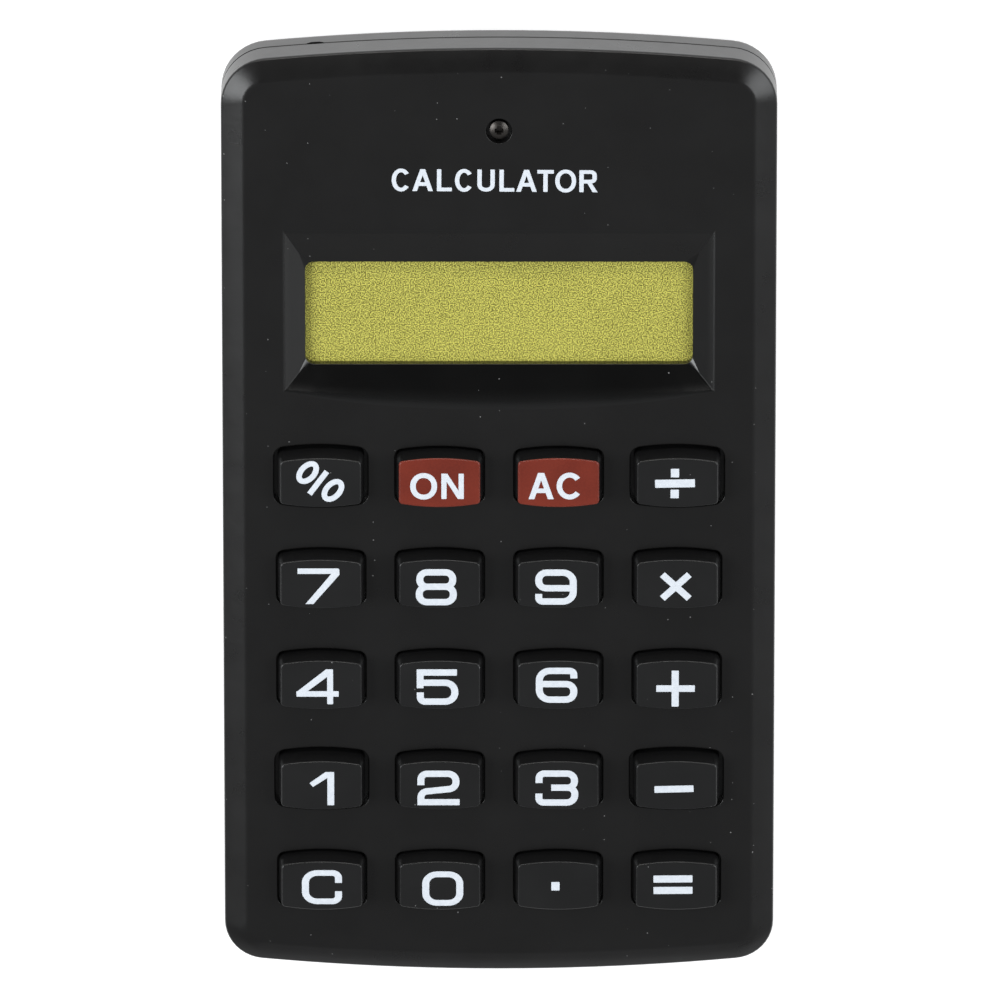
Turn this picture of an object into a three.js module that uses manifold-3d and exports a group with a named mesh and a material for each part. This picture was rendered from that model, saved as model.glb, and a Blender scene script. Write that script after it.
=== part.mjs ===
// A hand-held pocket calculator, in millimetres, lying on its back.
// +X is to the right, +Y towards the display end, +Z out of the face.
// The origin is on the supporting surface, under the middle of the body.

import * as THREE from 'three';
import { mergeVertices } from 'three/addons/utils/BufferGeometryUtils.js';
import Module from 'manifold-3d';

const wasm = await Module();
wasm.setup();

// ---------------------------------------------------------------- driving dimensions

// body
const BODY_WIDTH = 57.5;
const BODY_LENGTH = 102;
const END_BOW = 260;                 // radius that both ends bow out on
const CORNER_DISPLAY_END = 5.0;
const CORNER_KEY_END = 4.3;
const WALL = 1.6;

// heights
const FOOT = 0.4;                    // moulded feet, below the back
const FLOOR_TOP = 1.8;
const FLOOR_FILLET = 0.9;            // inside, between the floor and the walls
const BACK_ROUNDING = 2.2;
const PARTING = 4.6;
const PARTING_GAP = 0.12;
const BEVEL_FOOT = 7.8;
const FACE = 8.8;
const FACE_UNDERSIDE = 7.4;
const BEVEL_WIDTH = 2.3;
const ROOF_SLOPE = { inset: 2.9, low: 6.6 }; // under the bevel
const FACE_CORNER = 1.0;             // crisp corners of the flat face, inside the bevel
const OVERCUT = 0.4;                 // how far a cutter runs past the surface it cuts
const BLEND = 0.1;                   // how far joined features sink into each other

// tongue on the rear shell, in a rebate of the front shell
const TONGUE_INSET = 1.05;
const TONGUE_TOP = 5.5;
const REBATE_INSET = 0.85;
const REBATE_TOP = 5.8;

// display window
const RECESS = { halfWidth: 22.3, top: 31.3, bottom: 12.35, bottomBow: 172, corner: 0.5 };
const WINDOW = { halfWidth: 20.1, top: 27.45, bottom: 16.2, corner: 0.9 };
const WINDOW_RIM = 7.2;              // where the sloping surround meets the window's edge
const WINDOW_LIP = 6.3;              // underside of the window's edge
const WINDOW_PAD = { halfWidth: 24, top: 32.6, bottom: 11.0 };
const GLASS_POCKET = { halfWidth: 22.8, top: 30.8, bottom: 13.2, wall: 1.2, low: 4.7 };

// display stack, from the front; the upper glass reaches past the lower one to meet the zebra strip
const POLARISER = { halfWidth: 21.9, top: 29.6, bottom: 14.9, low: 6.06, high: 6.24 };
const UPPER_GLASS = { halfWidth: 22.5, top: 30.5, bottom: 13.5, low: 5.36, high: 6.02 };
const LOWER_GLASS = { halfWidth: 22.5, top: 30.5, bottom: 16.0, low: 4.66, high: 5.32 };
const REFLECTOR = { halfWidth: 21.9, top: 29.6, bottom: 16.5, low: 4.46, high: 4.62 };
const ZEBRA = { halfWidth: 21.5, top: 15.6, bottom: 13.8, low: 4.25, high: 5.31 };

// keys
const KEY_COLUMNS = [-18.53, -6.18, 6.18, 18.53];
const KEY_ROWS = [4.44, -6.77, -17.98, -29.19, -40.4];
const KEY_TOP = 11.0;
const KEY_EDGE = 0.2;                // rounding of the key's top edge
const KEY_FACE = { halfWidth: 4.2, halfHeight: 2.685, sag: 0.5, corner: 0.7 };
const KEY_DRAFT = 0.25;
const KEY_FLANGE = { halfWidth: 5.35, top: 3.95, bottom: -3.95, corner: 1.2, low: 6.6, high: 7.3 };
const KEY_HOLLOW = { halfWidth: 3.3, top: 1.85, bottom: -1.85, corner: 0.5, high: 9.8 };
const PLUNGER = { radius: 1.3, low: 6.35 };
const KEY_HOLE = { halfWidth: 4.625, halfHeight: 3.25, sag: 0.45, corner: 0.9 };
const WIDE_HOLE = { halfWidth: 4.875, halfHeight: 3.45, sag: 0.45, corner: 1.3 };

// case screw, from the face into a boss of the rear shell
const CASE_SCREW = { x: 0, y: 42.3, head: 0.95, shank: 0.6, top: 8.5, seat: 7.65, tip: 2.7, point: 0.8 };
const CASE_SCREW_CROSS = { reach: 0.55, halfSlot: 0.14, depth: 0.4 };
const SCREW_CLEARANCE = 0.15;
const COUNTERBORE = 1.4;
const SEAT_BOSS = { radius: 2.6, low: 6.2 };
const REAR_BOSS = { radius: 2.2, top: 6.0, holeLow: 2.4 };

// circuit board and its screws
const BOARD = { halfWidth: 26.3, top: 34, bottom: -46, corner: 1.5, low: 3.0, high: 4.2 };
const BOARD_SCREWS = [
  [-24.6, 32.6],
  [24.6, 32.6],
  [-24.6, 10.0],
  [24.6, 10.0],
  [0, -12.375],
  [-12.355, -34.795],
  [12.355, -34.795],
];
const BOARD_SCREW = { head: 1.2, shank: 0.65, headHeight: 0.7, tip: 6.0, point: 0.8 };
const BOARD_SCREW_CROSS = { reach: 0.7, halfSlot: 0.15, depth: 0.35 };
const BOARD_BOSS = { radius: 1.4, hole: 0.78, holeTop: 6.6 };
const BOARD_HOLE = 0.9;
const IC_BLOB = { x: 8, y: 22, radius: 4, height: 0.9 };
const CAPACITOR = { x: -6, y: 24, length: 2, width: 1.25, height: 0.85 };
const RESISTOR = { x: -6, y: 20, length: 2, width: 1.25, height: 0.5 };
const BOARD_POSTS = [
  [-12.355, -12.375],
  [12.355, -12.375],
  [-12.355, -23.585],
  [12.355, -23.585],
];
const POST_RADIUS = 1.2;

// keypad mat
const MAT = { halfWidth: 25, top: 8.9, bottom: -45.4, corner: 1.5, low: 4.25, high: 4.85 };
const DOME = { foot: 4.0, crown: 2.7, top: 6.3, web: 3.4, pill: 2.2, pillLow: 5.2 };
const BOSS_CLEARANCE = 0.35;

// button cell of the common 11.6 x 3.05 size, its bay and its contacts
const CELL = { x: 13.5, y: 41.3, radius: 5.8, low: 2.15, height: 3.05 };
const CELL_BAY = { inner: 6.1, outer: 6.9, top: 5.0 };
const CELL_RIB = { halfLength: 2.5, halfWidth: 0.4, low: 5.7 };
const CELL_CAP = { inset: 0.9, rise: 0.25, shoulder: 0.3 };
const STRIP = { halfWidth: 1.5, thickness: 0.2, end: 43 };
const STRIP_SLOT = { halfWidth: 1.8, top: 2.4 };
const STAKE = { radius: 0.45, hole: 0.6, top: 2.6 };
const POSITIVE_STRIP = { padEnd: 32.3, bend: 33.75 };
const NEGATIVE_STRIP = { padEnd: 29.5, bend: 31.5, stake: 32.9 };
const SLIT = 0.05;                   // clearance between pieces that lie on each other

// outside of the rear shell
const FEET = { radius: 2, x: 20, y: 42 };
const LABEL_RECESS = { halfWidth: 17, top: 12, bottom: -4, corner: 1, depth: 0.2 };
const PRY_NOTCH = { left: -20, right: -18, bottom: 49.5, drop: 0.46 };

// snap hooks at the key end
const HOOK = { x: 12, halfWidth: 2, stem: 1.0, outer: -47.6, nose: 0.6, low: 6.55, top: 6.95 };
const LEDGE = { low: 5.8, top: 6.4, inner: -47.95, outer: -49.6 };

// ---------------------------------------------------------------- solids

// A closed geometry becomes a solid that can be joined and cut.
function solid(geometry) {
  const bare = geometry.clone();
  bare.deleteAttribute('normal');
  bare.deleteAttribute('uv');
  const merged = mergeVertices(bare, 1e-5);
  return new wasm.Manifold(new wasm.Mesh({
    numProp: 3,
    vertProperties: new Float32Array(merged.attributes.position.array),
    triVerts: new Uint32Array(merged.index.array),
  }));
}

function geometryOf(shape) {
  const { vertProperties, triVerts } = shape.getMesh();
  const geometry = new THREE.BufferGeometry();
  geometry.setAttribute('position', new THREE.BufferAttribute(vertProperties, 3));
  geometry.setIndex(new THREE.BufferAttribute(triVerts, 1));
  geometry.computeVertexNormals();
  return geometry;
}

const joined = (shapes) => shapes.reduce((all, shape) => all.add(shape));
const cut = (shape, cutters) => cutters.reduce((rest, cutter) => rest.subtract(cutter), shape);

function block(x0, x1, y0, y1, z0, z1) {
  const box = new THREE.BoxGeometry(x1 - x0, y1 - y0, z1 - z0);
  return solid(box.translate((x0 + x1) / 2, (y0 + y1) / 2, (z0 + z1) / 2));
}

// an upright round bar
function rod(x, y, radius, z0, z1, sides = 12) {
  const bar = new THREE.CylinderGeometry(radius, radius, z1 - z0, sides);
  return solid(bar.rotateX(Math.PI / 2).translate(x, y, (z0 + z1) / 2));
}

// a profile of [radius, height] pairs, from the lowest point on the axis up, turned about that upright axis
function turned(profile, sides = 12) {
  const points = profile.map(([radius, height]) => new THREE.Vector2(radius, height));
  return solid(new THREE.LatheGeometry(points, sides).rotateX(Math.PI / 2));
}

// Outlines stacked at their heights, with straight walls between them. All have the same number of points.
function loft(rings) {
  const count = rings[0].outline.length;
  const positions = rings.flatMap(({ outline, z }) => outline.flatMap((point) => [point.x, point.y, z]));
  const faces = [];
  for (let ring = 0; ring + 1 < rings.length; ring += 1) {
    for (let i = 0; i < count; i += 1) {
      const next = (i + 1) % count;
      const [a, b] = [ring * count + i, ring * count + next];
      faces.push(a, b, b + count, a, b + count, a + count);
    }
  }
  const last = (rings.length - 1) * count;
  for (const [a, b, c] of THREE.ShapeUtils.triangulateShape(rings[0].outline, [])) {
    faces.push(c, b, a);
  }
  for (const [a, b, c] of THREE.ShapeUtils.triangulateShape(rings[rings.length - 1].outline, [])) {
    faces.push(last + a, last + b, last + c);
  }
  const geometry = new THREE.BufferGeometry();
  geometry.setAttribute('position', new THREE.Float32BufferAttribute(positions, 3));
  geometry.setIndex(faces);
  return solid(geometry);
}

const prism = (outline, z0, z1) => loft([{ outline, z: z0 }, { outline, z: z1 }]);

// ---------------------------------------------------------------- outlines

const STRAIGHT = 1e5;                // a bow's radius where an end is as good as straight
const bowOver = (halfWidth, sag) => (halfWidth ** 2 + sag ** 2) / (2 * sag);

// One end of an outline, from its right side round to its left side: two corner arcs with a bow between them.
function crown(halfWidth, height, bow, corner, cornerSteps, bowSteps) {
  const centre = height - bow;
  const x = halfWidth - corner;
  const y = centre + Math.sqrt((bow - corner) ** 2 - x ** 2);
  const meet = Math.atan2(y - centre, x);
  const points = [];
  for (let i = 0; i <= cornerSteps; i += 1) {
    const angle = (meet * i) / cornerSteps;
    points.push(new THREE.Vector2(x + corner * Math.cos(angle), y + corner * Math.sin(angle)));
  }
  for (let i = 1; i < bowSteps; i += 1) {
    const angle = meet + ((Math.PI - 2 * meet) * i) / bowSteps;
    points.push(new THREE.Vector2(bow * Math.cos(angle), centre + bow * Math.sin(angle)));
  }
  for (let i = cornerSteps; i >= 0; i -= 1) {
    points.push(new THREE.Vector2(-points[i].x, points[i].y));
  }
  return points;
}

// A straight-sided outline whose top and bottom may bow outwards.
function outline({
  halfWidth, top, bottom, corner, topCorner = corner, bottomCorner = corner,
  topBow = STRAIGHT, bottomBow = STRAIGHT, cornerSteps = 2, bowSteps = 1,
}) {
  const upper = crown(halfWidth, top, topBow, topCorner, cornerSteps, bowSteps);
  const lower = crown(halfWidth, -bottom, bottomBow, bottomCorner, cornerSteps, bowSteps);
  return [...upper, ...lower.map((point) => new THREE.Vector2(-point.x, -point.y))];
}

// the body's outline, drawn in by a distance
function bodyOutline(inset, cornerLoss = inset) {
  return outline({
    halfWidth: BODY_WIDTH / 2 - inset,
    top: BODY_LENGTH / 2 - inset,
    bottom: -BODY_LENGTH / 2 + inset,
    topBow: END_BOW - inset,
    bottomBow: END_BOW - inset,
    topCorner: Math.max(CORNER_DISPLAY_END - cornerLoss, FACE_CORNER),
    bottomCorner: Math.max(CORNER_KEY_END - cornerLoss, FACE_CORNER),
    cornerSteps: 5,
    bowSteps: 6,
  });
}

// the barrel outline of a key or its hole, grown by a distance
function barrel({ halfWidth, halfHeight, sag, corner }, grow = 0) {
  const bow = bowOver(halfWidth, sag) + grow;
  return outline({
    halfWidth: halfWidth + grow,
    top: halfHeight + grow,
    bottom: -halfHeight - grow,
    corner: corner + grow,
    topBow: bow,
    bottomBow: bow,
    bowSteps: 4,
  });
}

const moved = (points, x, y) => points.map((point) => new THREE.Vector2(point.x + x, point.y + y));

// ---------------------------------------------------------------- the keys' places and names

const KEYS = [
  ['percent', 'on', 'ac', 'divide'],
  ['7', '8', '9', 'multiply'],
  ['4', '5', '6', 'add'],
  ['1', '2', '3', 'subtract'],
  ['c', '0', 'point', 'equals'],
].flatMap((names, row) => names.map((name, column) => ({
  name,
  x: KEY_COLUMNS[column],
  y: KEY_ROWS[row],
})));
const RED_KEYS = ['on', 'ac'];
const KEYS_IN_WIDE_HOLES = ['percent', 'divide', '1', 'subtract'];

// ---------------------------------------------------------------- materials

const plastic = (color) => new THREE.MeshStandardMaterial({ color, roughness: 0.6, metalness: 0 });
const metal = (color) => new THREE.MeshStandardMaterial({ color, roughness: 0.35, metalness: 1 });
const BLACK = 0x1b1c1d;
const BRICK_RED = 0x6d2a22;
const STEEL = 0xb9bbbd;

function mesh(name, shape, material) {
  const object = new THREE.Mesh(shape.isBufferGeometry ? shape : geometryOf(shape), material);
  object.name = name;
  return object;
}

// ---------------------------------------------------------------- sub-parts

// The outer form: upright walls, an outward edge that is slightly rounded, and the bevel up to the flat face.
function frontForm() {
  const bevelSlope = (FACE - BEVEL_FOOT) / BEVEL_WIDTH;
  const cornerLoss = (inset) => (inset * (CORNER_DISPLAY_END - FACE_CORNER)) / BEVEL_WIDTH;
  const edge = [[0, -0.2], [0.07, -0.02], [0.3, 0.3 * bevelSlope], [BEVEL_WIDTH, FACE - BEVEL_FOOT]];
  return loft([
    { outline: bodyOutline(0), z: PARTING + PARTING_GAP / 2 },
    ...edge.map(([inset, rise]) => ({
      outline: bodyOutline(inset, cornerLoss(inset)),
      z: BEVEL_FOOT + rise,
    })),
  ]);
}

function frontCavity() {
  const low = PARTING - OVERCUT;
  const cavity = loft([
    { outline: bodyOutline(WALL), z: low },
    { outline: bodyOutline(WALL), z: ROOF_SLOPE.low },
    { outline: bodyOutline(ROOF_SLOPE.inset), z: FACE_UNDERSIDE },
  ]);
  return cavity.add(prism(bodyOutline(REBATE_INSET), low, REBATE_TOP));
}

// The thick surround of the window, and the walls of the pocket that the display glass sits in.
function windowPad() {
  const { halfWidth, top, bottom, wall, low } = GLASS_POCKET;
  const pad = WINDOW_PAD;
  const surround = block(
    -pad.halfWidth, pad.halfWidth, pad.bottom, pad.top, WINDOW_LIP, FACE_UNDERSIDE + BLEND,
  );
  const walls = block(
    -halfWidth - wall, halfWidth + wall, bottom - wall, top + wall, low, WINDOW_LIP + BLEND,
  );
  const pocket = block(-halfWidth, halfWidth, bottom, top, low - OVERCUT, WINDOW_LIP);
  return cut(surround.add(walls), [pocket]);
}

function windowCutter() {
  const recess = outline({ ...RECESS, bowSteps: 6 });
  const window = outline({ ...WINDOW, bowSteps: 6 });
  return loft([
    { outline: window, z: WINDOW_LIP - OVERCUT },
    { outline: window, z: WINDOW_RIM },
    { outline: recess, z: FACE },
    { outline: recess, z: FACE + OVERCUT },
  ]);
}

function keyHole({ name, x, y }) {
  const shape = KEYS_IN_WIDE_HOLES.includes(name) ? WIDE_HOLE : KEY_HOLE;
  return prism(moved(barrel(shape), x, y), FACE_UNDERSIDE - OVERCUT, FACE + OVERCUT);
}

function frontShell() {
  const { x, y, seat, shank } = CASE_SCREW;
  const roof = FACE_UNDERSIDE + BLEND;
  const bosses = BOARD_SCREWS.map(([bx, by]) => rod(bx, by, BOARD_BOSS.radius, BOARD.high + SLIT, roof));
  const pilots = BOARD_SCREWS.map(([bx, by]) => (
    rod(bx, by, BOARD_BOSS.hole, BOARD.high - OVERCUT, BOARD_BOSS.holeTop, 8)
  ));
  const ledges = [-HOOK.x, HOOK.x].map((hx) => block(
    hx - HOOK.halfWidth, hx + HOOK.halfWidth, LEDGE.outer, LEDGE.inner, LEDGE.low, LEDGE.top,
  ));
  const cellRib = block(
    CELL.x - CELL_RIB.halfLength, CELL.x + CELL_RIB.halfLength,
    CELL.y - CELL_RIB.halfWidth, CELL.y + CELL_RIB.halfWidth, CELL_RIB.low, roof,
  );
  const shell = cut(frontForm(), [frontCavity()]);
  const full = joined([
    shell, windowPad(), rod(x, y, SEAT_BOSS.radius, SEAT_BOSS.low, roof), cellRib, ...bosses, ...ledges,
  ]);
  return cut(full, [
    windowCutter(),
    ...KEYS.map(keyHole),
    ...pilots,
    rod(x, y, COUNTERBORE, seat, FACE + OVERCUT, 16),
    rod(x, y, shank + SCREW_CLEARANCE, SEAT_BOSS.low - OVERCUT, FACE),
  ]);
}

// a straight hook with its nose towards the end wall
function hook(x) {
  const { halfWidth, stem, outer, nose, low, top } = HOOK;
  const upright = block(x - halfWidth, x + halfWidth, outer, outer + stem, FLOOR_TOP - BLEND, top);
  return upright.add(block(x - halfWidth, x + halfWidth, outer - nose, outer + stem, low, top));
}

function rearForm() {
  const steps = 4;
  const rings = [];
  for (let i = 0; i <= steps; i += 1) {
    const angle = ((Math.PI / 2) * i) / steps;
    rings.push({
      outline: bodyOutline(BACK_ROUNDING * (1 - Math.sin(angle))),
      z: FOOT + BACK_ROUNDING * (1 - Math.cos(angle)),
    });
  }
  const tray = loft([...rings, { outline: bodyOutline(0), z: PARTING - PARTING_GAP / 2 }]);
  return tray.add(prism(bodyOutline(TONGUE_INSET), PARTING - 2 * BLEND, TONGUE_TOP));
}

function rearShell() {
  const { x, y } = CASE_SCREW;
  const feet = [-1, 1].flatMap((side) => [-1, 1].map((end) => (
    rod(side * FEET.x, end * FEET.y, FEET.radius, 0, FOOT + BLEND, 16)
  )));
  const cavity = loft([
    { outline: bodyOutline(WALL + FLOOR_FILLET), z: FLOOR_TOP },
    { outline: bodyOutline(WALL), z: FLOOR_TOP + FLOOR_FILLET },
    { outline: bodyOutline(WALL), z: TONGUE_TOP + OVERCUT },
  ]);
  const labelRecess = prism(outline(LABEL_RECESS), FOOT - OVERCUT, FOOT + LABEL_RECESS.depth);
  const stripSlot = block(
    CELL.x - STRIP_SLOT.halfWidth, CELL.x + STRIP_SLOT.halfWidth,
    CELL.y - CELL_BAY.outer - 1, CELL.y, FLOOR_TOP, STRIP_SLOT.top,
  );
  const notch = block(
    PRY_NOTCH.left, PRY_NOTCH.right,
    PRY_NOTCH.bottom, BODY_LENGTH / 2 + OVERCUT,
    PARTING - PRY_NOTCH.drop, PARTING + OVERCUT,
  );
  const bay = cut(rod(CELL.x, CELL.y, CELL_BAY.outer, FLOOR_TOP - BLEND, CELL_BAY.top, 28), [
    rod(CELL.x, CELL.y, CELL_BAY.inner, FLOOR_TOP, CELL_BAY.top + OVERCUT, 28),
    stripSlot,
  ]);
  const tray = cut(rearForm(), [cavity, labelRecess, notch]);
  const full = joined([
    tray,
    bay,
    rod(x, y, REAR_BOSS.radius, FLOOR_TOP - BLEND, REAR_BOSS.top, 16),
    rod(CELL.x, NEGATIVE_STRIP.stake, STAKE.radius, FLOOR_TOP - BLEND, STAKE.top, 8),
    hook(-HOOK.x),
    hook(HOOK.x),
    ...feet,
    ...BOARD_POSTS.map(([px, py]) => rod(px, py, POST_RADIUS, FLOOR_TOP - BLEND, BOARD.low - SLIT, 10)),
  ]);
  const pilot = rod(x, y, CASE_SCREW.shank + BLEND, REAR_BOSS.holeLow, REAR_BOSS.top + OVERCUT, 10);
  return cut(full, [pilot]);
}

// a cap with a flange that stops it under the face, hollow below, with a plunger down its middle
function key() {
  const hollow = outline({ ...KEY_HOLLOW, cornerSteps: 1 });
  const flange = outline({ ...KEY_FLANGE, cornerSteps: 1 });
  const cap = loft([
    { outline: barrel(KEY_FACE, KEY_DRAFT), z: KEY_FLANGE.high - BLEND },
    { outline: barrel(KEY_FACE, KEY_DRAFT), z: FACE },
    { outline: barrel(KEY_FACE), z: KEY_TOP - KEY_EDGE },
    { outline: barrel(KEY_FACE, -KEY_EDGE), z: KEY_TOP },
  ]);
  const body = cap.add(prism(flange, KEY_FLANGE.low, KEY_FLANGE.high));
  const shell = cut(body, [prism(hollow, KEY_FLANGE.low - OVERCUT, KEY_HOLLOW.high)]);
  return shell.add(rod(0, 0, PLUNGER.radius, PLUNGER.low, KEY_HOLLOW.high + BLEND, 8));
}

// a rubber sheet with a hollow dome under each key, cut away round the screw bosses
function keypadMat() {
  const { foot, crown: crownRadius, top, web, pill, pillLow } = DOME;
  const dome = geometryOf(turned([
    [0, pillLow],
    [pill, pillLow],
    [web, MAT.low],
    [foot + BLEND, MAT.low],
    [foot + BLEND, MAT.high],
    [crownRadius, top],
    [0, top],
  ], 8));
  const base = prism(outline(MAT), MAT.low, MAT.high);
  const gaps = BOARD_SCREWS.map(([x, y]) => (
    rod(x, y, BOARD_BOSS.radius + BOSS_CLEARANCE, MAT.low - OVERCUT, MAT.high + OVERCUT, 10)
  ));
  const seats = KEYS.map(({ x, y }) => rod(x, y, foot - BLEND, MAT.low - OVERCUT, MAT.high + OVERCUT, 8));
  const domes = KEYS.map(({ x, y }) => solid(dome.clone().translate(x, y, 0)));
  return joined([cut(base, [...gaps, ...seats]), ...domes]);
}

function circuitBoard() {
  const holes = BOARD_SCREWS.map(([x, y]) => (
    rod(x, y, BOARD_HOLE, BOARD.low - OVERCUT, BOARD.high + OVERCUT, 10)
  ));
  return cut(prism(outline(BOARD), BOARD.low, BOARD.high), holes);
}

// two crossed slots from one height to another
function cross({ reach, halfSlot }, z0, z1) {
  return block(-reach, reach, -halfSlot, halfSlot, z0, z1)
    .add(block(-halfSlot, halfSlot, -reach, reach, z0, z1));
}

function caseScrew() {
  const { head, shank, top, seat, tip, point } = CASE_SCREW;
  const body = turned([
    [0, tip],
    [shank, tip + point],
    [shank, seat + SLIT],
    [head, seat + SLIT],
    [head, top - 0.35],
    [head * 0.7, top - 0.08],
    [0, top],
  ], 16);
  return cut(body, [cross(CASE_SCREW_CROSS, top - CASE_SCREW_CROSS.depth, top + OVERCUT)]);
}

// head below the board, shank up into a boss of the front shell
function boardScrew() {
  const { head, shank, headHeight, tip, point } = BOARD_SCREW;
  const seat = BOARD.low - SLIT;
  const body = turned([
    [0, seat - headHeight],
    [head * 0.75, seat - headHeight],
    [head, seat - headHeight * 0.6],
    [head, seat],
    [shank, seat],
    [shank, tip - point],
    [0, tip],
  ], 10);
  const bottom = seat - headHeight;
  return cut(body, [cross(BOARD_SCREW_CROSS, bottom - OVERCUT, bottom + BOARD_SCREW_CROSS.depth)]);
}

const sheet = ({ halfWidth, top, bottom, low, high }) => block(-halfWidth, halfWidth, bottom, top, low, high);

function icBlob() {
  const { x, y, radius, height } = IC_BLOB;
  const low = BOARD.low - SLIT - height;
  const dome = turned([
    [0, low],
    [radius * 0.5, low + height * 0.12],
    [radius * 0.85, low + height * 0.5],
    [radius, low + height],
    [0, low + height],
  ], 16);
  return dome.translate([x, y, 0]);
}

function chipPart({ x, y, length, width, height }) {
  const high = BOARD.low - SLIT;
  return block(x - length / 2, x + length / 2, y - width / 2, y + width / 2, high - height, high);
}

function buttonCell() {
  const { x, y, radius, low, height } = CELL;
  const { inset, rise, shoulder } = CELL_CAP;
  const cell = turned([
    [0, low],
    [radius - inset, low],
    [radius - inset + BLEND, low + rise],
    [radius - shoulder, low + rise],
    [radius, low + rise + shoulder],
    [radius, low + height - shoulder],
    [radius - shoulder, low + height],
    [0, low + height],
  ], 28);
  return cell.translate([x, y, 0]);
}

// A bent strip: its side view is given as [y, z] points of a closed outline, drawn out along X.
function bentStrip(sideView) {
  const shape = new THREE.Shape(sideView.map(([y, z]) => new THREE.Vector2(y, z)));
  const width = 2 * STRIP.halfWidth;
  const strip = new THREE.ExtrudeGeometry(shape, { depth: width, bevelEnabled: false });
  strip.translate(0, 0, -STRIP.halfWidth);
  strip.applyMatrix4(new THREE.Matrix4().makeBasis(
    new THREE.Vector3(0, 1, 0), new THREE.Vector3(0, 0, 1), new THREE.Vector3(1, 0, 0),
  ));
  return solid(strip.translate(CELL.x, 0, 0));
}

// over the cell, down at its side, and along the board's upper face to the solder pad
function positiveContact() {
  const { thickness: t, end } = STRIP;
  const { padEnd, bend } = POSITIVE_STRIP;
  const foot = BOARD.high + SLIT;
  const leaf = CELL.low + CELL.height + SLIT;
  return bentStrip([
    [padEnd, foot], [bend, foot], [bend, leaf], [end, leaf],
    [end, leaf + t], [bend - t, leaf + t], [bend - t, foot + t], [padEnd, foot + t],
  ]);
}

// along the floor under the cell, held by a stake, then up to press on the board's lower face
function negativeContact() {
  const { thickness: t, end } = STRIP;
  const { padEnd, bend, stake } = NEGATIVE_STRIP;
  const low = FLOOR_TOP + SLIT;
  const high = BOARD.low - SLIT;
  const strip = bentStrip([
    [bend - t, low], [end, low], [end, low + t], [bend, low + t],
    [bend, high], [padEnd, high], [padEnd, high - t], [bend - t, high - t],
  ]);
  return cut(strip, [rod(CELL.x, stake, STAKE.hole, low - OVERCUT, low + t + OVERCUT, 8)]);
}

// ---------------------------------------------------------------- assembly

const calculator = new THREE.Group();

calculator.add(
  mesh('front_shell', frontShell(), plastic(BLACK)),
  mesh('rear_shell', rearShell(), plastic(BLACK)),
  mesh('keypad_mat', keypadMat(), plastic(0x8d9092)),
  mesh('pcb', circuitBoard(), plastic(0x2f6b45)),
  mesh('ic_blob', icBlob(), plastic(0x141414)),
  mesh('capacitor', chipPart(CAPACITOR), plastic(0xa98a63)),
  mesh('resistor', chipPart(RESISTOR), plastic(0x222222)),
  mesh('lcd_polariser', sheet(POLARISER), plastic(0x9a9a52)),
  mesh('lcd_upper_glass', sheet(UPPER_GLASS), plastic(0xb8c4b0)),
  mesh('lcd_lower_glass', sheet(LOWER_GLASS), plastic(0xb8c4b0)),
  mesh('lcd_reflector', sheet(REFLECTOR), metal(0xa9a86a)),
  mesh('zebra_strip', sheet(ZEBRA), plastic(0x3a3a3a)),
  mesh('battery_cell', buttonCell(), metal(STEEL)),
  mesh('battery_positive_contact', positiveContact(), metal(STEEL)),
  mesh('battery_negative_contact', negativeContact(), metal(STEEL)),
);

const caseScrewMesh = mesh('case_screw', caseScrew(), metal(0x232325));
caseScrewMesh.position.set(CASE_SCREW.x, CASE_SCREW.y, 0);
calculator.add(caseScrewMesh);

const boardScrewGeometry = geometryOf(boardScrew());
BOARD_SCREWS.forEach(([x, y], index) => {
  const screw = mesh(`pcb_screw_${index + 1}`, boardScrewGeometry, metal(STEEL));
  screw.position.set(x, y, 0);
  calculator.add(screw);
});

const keyGeometry = geometryOf(key());
for (const { name, x, y } of KEYS) {
  const cap = mesh(`key_${name}`, keyGeometry, plastic(RED_KEYS.includes(name) ? BRICK_RED : BLACK));
  cap.position.set(x, y, 0);
  calculator.add(cap);
}

export default calculator;
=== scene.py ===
"""The looks of a hand-held pocket calculator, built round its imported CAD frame.

Shapes are drawn in millimetres in the frame's own axes, and piece() turns them into metres.
+X is to the right, +Y towards the display end, +Z out of the face.
"""

import math

import bpy
from mathutils import Matrix, Vector
from mathutils.geometry import delaunay_2d_cdt


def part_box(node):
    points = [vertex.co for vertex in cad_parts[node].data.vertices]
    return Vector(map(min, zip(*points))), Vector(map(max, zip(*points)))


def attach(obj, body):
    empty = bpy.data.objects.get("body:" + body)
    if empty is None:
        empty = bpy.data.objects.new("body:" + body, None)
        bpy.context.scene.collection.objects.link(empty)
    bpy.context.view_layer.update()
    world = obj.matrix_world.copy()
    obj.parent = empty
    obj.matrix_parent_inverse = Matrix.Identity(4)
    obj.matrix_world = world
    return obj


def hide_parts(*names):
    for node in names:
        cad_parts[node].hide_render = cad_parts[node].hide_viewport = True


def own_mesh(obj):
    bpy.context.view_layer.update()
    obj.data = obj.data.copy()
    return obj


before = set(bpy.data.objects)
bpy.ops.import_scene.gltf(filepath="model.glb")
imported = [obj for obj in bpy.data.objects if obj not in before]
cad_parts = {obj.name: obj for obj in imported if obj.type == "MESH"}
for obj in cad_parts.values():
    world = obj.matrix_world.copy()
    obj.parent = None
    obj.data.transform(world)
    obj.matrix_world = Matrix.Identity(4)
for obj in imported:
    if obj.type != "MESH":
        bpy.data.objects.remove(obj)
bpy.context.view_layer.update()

MM = 0.001


# ---- sizes that the frame gives

def box_mm(node):
    low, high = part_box(node)
    return low / MM, high / MM


def centre_mm(node):
    low, high = box_mm(node)
    return (low + high) / 2


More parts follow.
